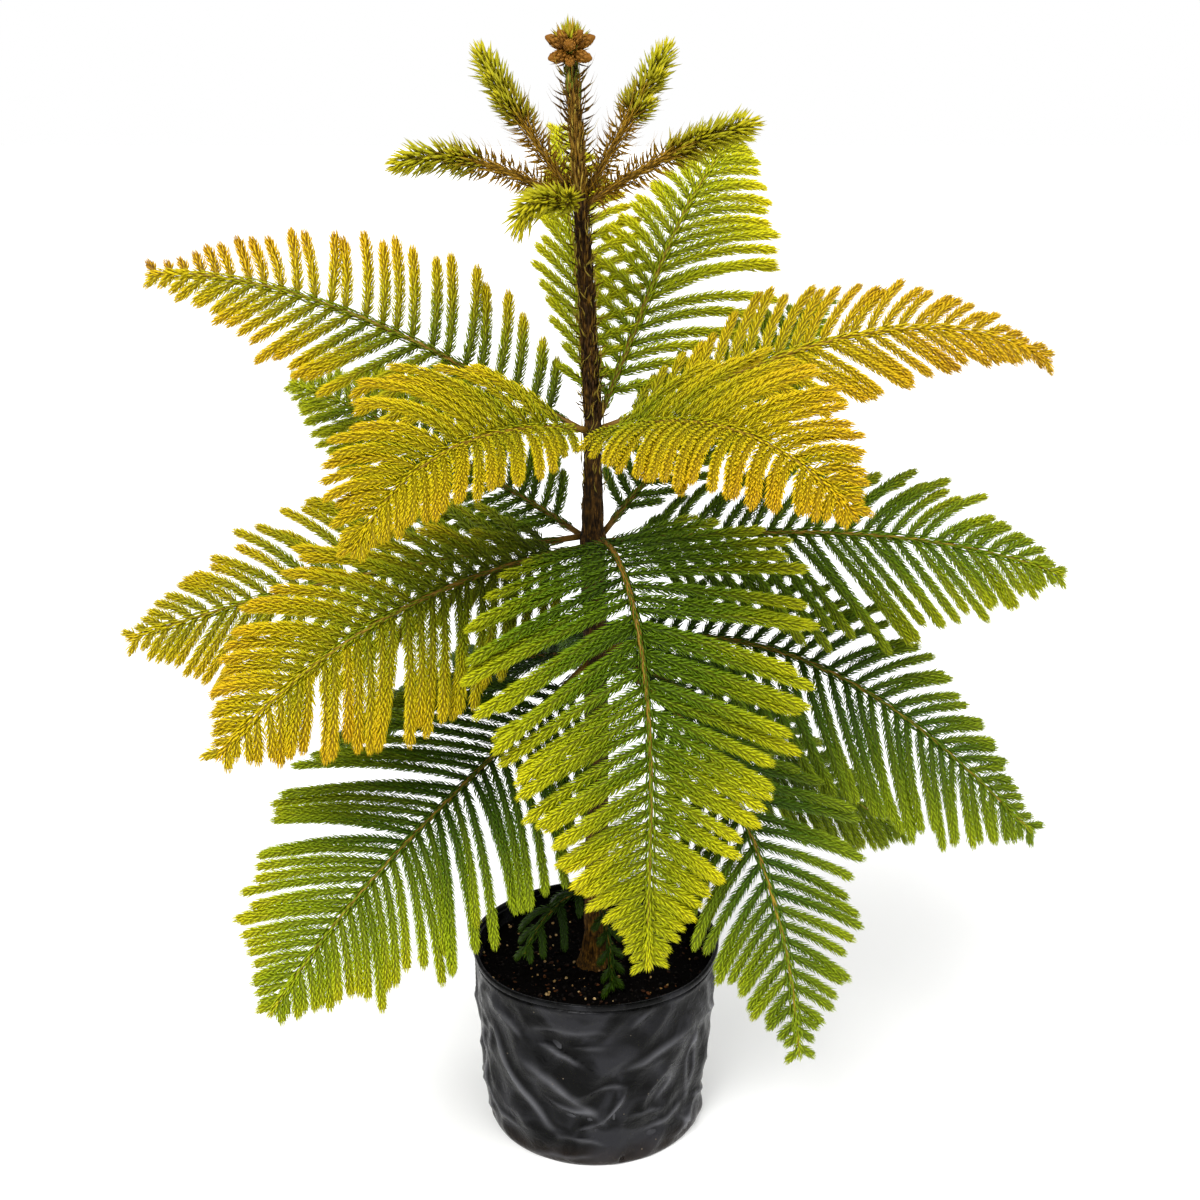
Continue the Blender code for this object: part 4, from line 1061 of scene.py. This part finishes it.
def build_trunk(tools):
    """The bark, swollen at each whorl and flared at its foot, with leaf scales above."""
    foot = SOIL_LEVEL - STEM_HOLE_DEPTH + CLEARANCE
    heights = np.concatenate([[foot], np.linspace(foot, TRUNK_TOP, 330), [TRUNK_TOP]])

    def place(turn, run):
        row = np.round(run * (len(heights) - 1)).astype(int)
        height = heights[row]
        radius = trunk_radius(height) - SCALE_THICKNESS * np.clip((height - TAPER_START) / (60 * MM), 0, 1)
        for whorl in (LOWER_WHORL, MIDDLE_WHORL, UPPER_WHORL, TOP_WHORL):
            radius = radius + 1.1 * MM * np.exp(-((height - whorl) / (7 * MM)) ** 2)
        above_soil = height - SOIL_LEVEL
        left_side = 0.5 - 0.5 * np.cos((turn - 0.08) * math.tau)
        flare = (2 + 6 * left_side) * MM * np.exp(-np.maximum(0, above_soil) / (11 * MM))
        radius = radius + np.where(above_soil > -4 * MM, flare, 0)
        way = level_way(turn * math.tau)
        spots = trunk_axis(height) + way * radius[:, None]
        radius = radius + np.where(above_soil > 0, bark_relief(spots, height), -0.4 * MM)
        radius = np.where((row == 0) | (row == len(heights) - 1), 0, radius)
        return trunk_axis(height) + way * radius[:, None]

    hand_in(rolled_grid("trunk_bark", 44, len(heights) - 1, place, bark_material()), "trunk")
    rng = np.random.default_rng(11)
    store = Gathered()
    # Closely pressed scales and dry spikes, and green scales on the neck below the buds. Each row
    # has its count, lowest and highest millimetre, length, lean, tones, shape, scatter of the lean,
    # and how far out in the trunk the roots are.
    for count, low, high, length, lean, tones, shape, scatter, sunk in (
            (392, 415, 580, 8, 4, (0.0, 0.5), "scale", 4, 0.96),
            (993, 585, 744, 10, 6, (0.0, 0.6), "scale", 4, 0.96),
            (85, 590, 735, 14, 56, (0.4, 0.74), "dry", 10, 0.9),
            (584, 744, 820, 11, 9, (0.45, 0.77), "scale", 5, 0.9),
            (75, 810, 840, 13, 10, (0.86, 1.0), "scale", 6, 0.9),
            (124, 730, 830, 19, 48, (0.5, 0.76), "dry", 8, 0.9)):
        height = np.linspace(low, high, count) * MM + rng.normal(0, 0.6 * MM, count)
        outward = level_way(np.arange(count) * GOLDEN_ANGLE + rng.normal(0, 0.2, count))
        roots = trunk_axis(height) + outward * (sunk * trunk_radius(height) - SCALE_THICKNESS)[:, None]
        sizes = length * MM * rng.normal(1, 0.13, count)
        leans = np.radians(lean + rng.normal(0, scatter, count))
        shades = rng.uniform(*tones, count)
        stamp_needles(store, tools[shape], roots, WORLD_UP, outward, sizes, leans, shades)
    # Long straw-coloured needles lie curled on the trunk
    count = 150
    height = rng.uniform(515 * MM, TOP_WHORL - 16 * MM, count)
    outward = spiral(count)
    sideways = np.cross(WORLD_UP, outward) * rng.choice([-1.0, 1.0], count)[:, None]
    roots = trunk_axis(height) + outward * (trunk_radius(height) + 1.4 * MM)[:, None]
    stamp_needles(store, tools["straw"], roots, WORLD_UP, sideways, rng.uniform(10, 16, count) * MM,
                  np.radians(rng.normal(0, 26, count)), rng.uniform(0.74, 0.81, count))
    # The leader's own wood under its scales
    stamp_upright(store, tools["branchlet"], trunk_axis(np.linspace(TOP_WHORL, TRUNK_TOP - 4 * MM, 13)),
                  2 * MM, 2 * MM)
    material = needle_material("dead_leaf_scales", SCALE_TONES, SCALE_TONES, 0.7)
    hand_in(store.make("trunk_leaf_scales", material))


# Resting buds round the leader's head: degrees round, degrees up from level, millimetres above
# the leader's top, and length.
BUDS = [
    (268, 2, 13, 17), (188, 22, 12, 19), (352, 22, 12, 19), (210, -12, 8, 18), (268, -28, 7, 15),
    (330, -12, 8, 18), (228, 38, 13, 16), (312, 38, 13, 16), (128, 18, 13, 17), (58, 18, 13, 17),
    (160, -18, 10, 15), (20, -18, 10, 15), (92, -20, 10, 15),
]
SCALES_ON_BUD = 20
BRACTS = 54
TUFT_NEEDLES = 64


def build_buds(tools):
    """Pointed buds with papery scales pressed on them, brown bracts between them, and a fan of
    young needles above."""
    rng = np.random.default_rng(13)
    store = Gathered()
    head = trunk_axis(TRUNK_TOP)
    for azimuth, lift, rise, length in BUDS:
        out = way_at(azimuth, lift)
        side = np.cross(WORLD_UP, level_way(math.radians(azimuth)))
        root = head + WORLD_UP * rise * MM
        length = length * MM
        stamp_needles(store, tools["bud"], root[None], out, side, length, 0.0, 0.5)
        share = np.linspace(0.14, 0.6, SCALES_ON_BUD)
        turn = spiral(SCALES_ON_BUD)
        outward = turn[:, :1] * side + turn[:, 1:2] * np.cross(out, side)
        # The scales' roots are a little inside the bud's skin
        belly = 2 * np.sqrt(share * (1 - share)) * bud_fullness(share)
        belly = belly * 0.89 * BUD_RADIUS * length / BUD_LENGTH
        roots = root + out * (share * length)[:, None] + outward * belly[:, None]
        stamp_needles(store, tools["bud_scale"], roots, out, outward, 0.42 * length,
                      np.radians(3 - 58 * (share - 0.2)), rng.uniform(0.5, 0.75, SCALES_ON_BUD))
    outward = spiral(BRACTS)
    share = np.linspace(0, 1, BRACTS)
    roots = head + WORLD_UP * (3 * MM + 12 * MM * share)[:, None] + outward * 2 * MM
    stamp_needles(store, tools["young"], roots, WORLD_UP, outward, rng.uniform(10, 14, BRACTS) * MM,
                  np.radians(108 - 58 * share), rng.uniform(0.0, 0.6, BRACTS))
    material = needle_material("papery_bud_scales", BUD_TONES, BUD_WOOD, 0.55)
    hand_in(store.make("leader_bud_cluster", material), "leader_buds")
    tuft = Gathered()
    outward = spiral(TUFT_NEEDLES)
    share = np.linspace(1, 0, TUFT_NEEDLES)
    roots = head + WORLD_UP * 15 * MM + outward * (3.4 * MM * share)[:, None]
    sizes = (17 - 4 * share) * MM * rng.normal(1, 0.07, TUFT_NEEDLES)
    leans = np.radians(3 + 55 * share + rng.normal(0, 4, TUFT_NEEDLES))
    stamp_needles(tuft, tools["young"], roots, WORLD_UP, outward, sizes, leans,
                  rng.uniform(0.45, 0.85, TUFT_NEEDLES), 1.1)
    stamp_upright(tuft, tools["branchlet"], head + np.linspace(-4 * MM, 18 * MM, 13)[:, None] * WORLD_UP,
                  4 * MM, 3 * MM, 0.6)
    material = needle_material("young_tuft_needles", SHOOT_TONES, SHOOT_STEM)
    hand_in(tuft.make("leader_tuft", material))


set_camera()
set_stage()
tools = {
    "needle": model_needle(NEEDLE_WIDTH / NEEDLE_LENGTH, 0.05),
    "young": model_needle(SHOOT_WIDTH / SHOOT_NEEDLE, 0.05),
    "dry": model_needle(DRY_WIDTH / SHOOT_NEEDLE, 0.14, 0.3, (0.65,)),
    "straw": model_needle(0.07, 0.16, 0.3, (0.65,)),
    "scale": model_needle(0.13, 0.03, 0.4),
    "bud_scale": model_needle(0.3, 0.07),
    "bud": model_bud(),
    "midrib": model_stem(8, 32),
    "branchlet": model_stem(5, 6),
}
materials = {
    "gold": needle_material("waxy_golden_needles", GOLD_TONES, STEM_TONES),
    "green": needle_material("waxy_green_needles", GREEN_TONES, STEM_TONES),
    "dark": needle_material("waxy_dark_needles", DARK_TONES, STEM_TONES),
}
shoot_material = needle_material("young_shoot_needles", SHOOT_TONES, SHOOT_STEM, root_shade=0.75)
for seed, whorl in ((100, UPPER), (200, MIDDLE), (300, LOWER), (400, BASAL)):
    build_whorl(whorl, tools, materials, seed)
for index, spec in enumerate(SHOOTS):
    build_shoot(spec, tools, shoot_material, 500 + index)
build_bag()
build_soil()
build_crumbs(model_crumb(), crumb_material())
build_trunk(tools)
build_buds(tools)
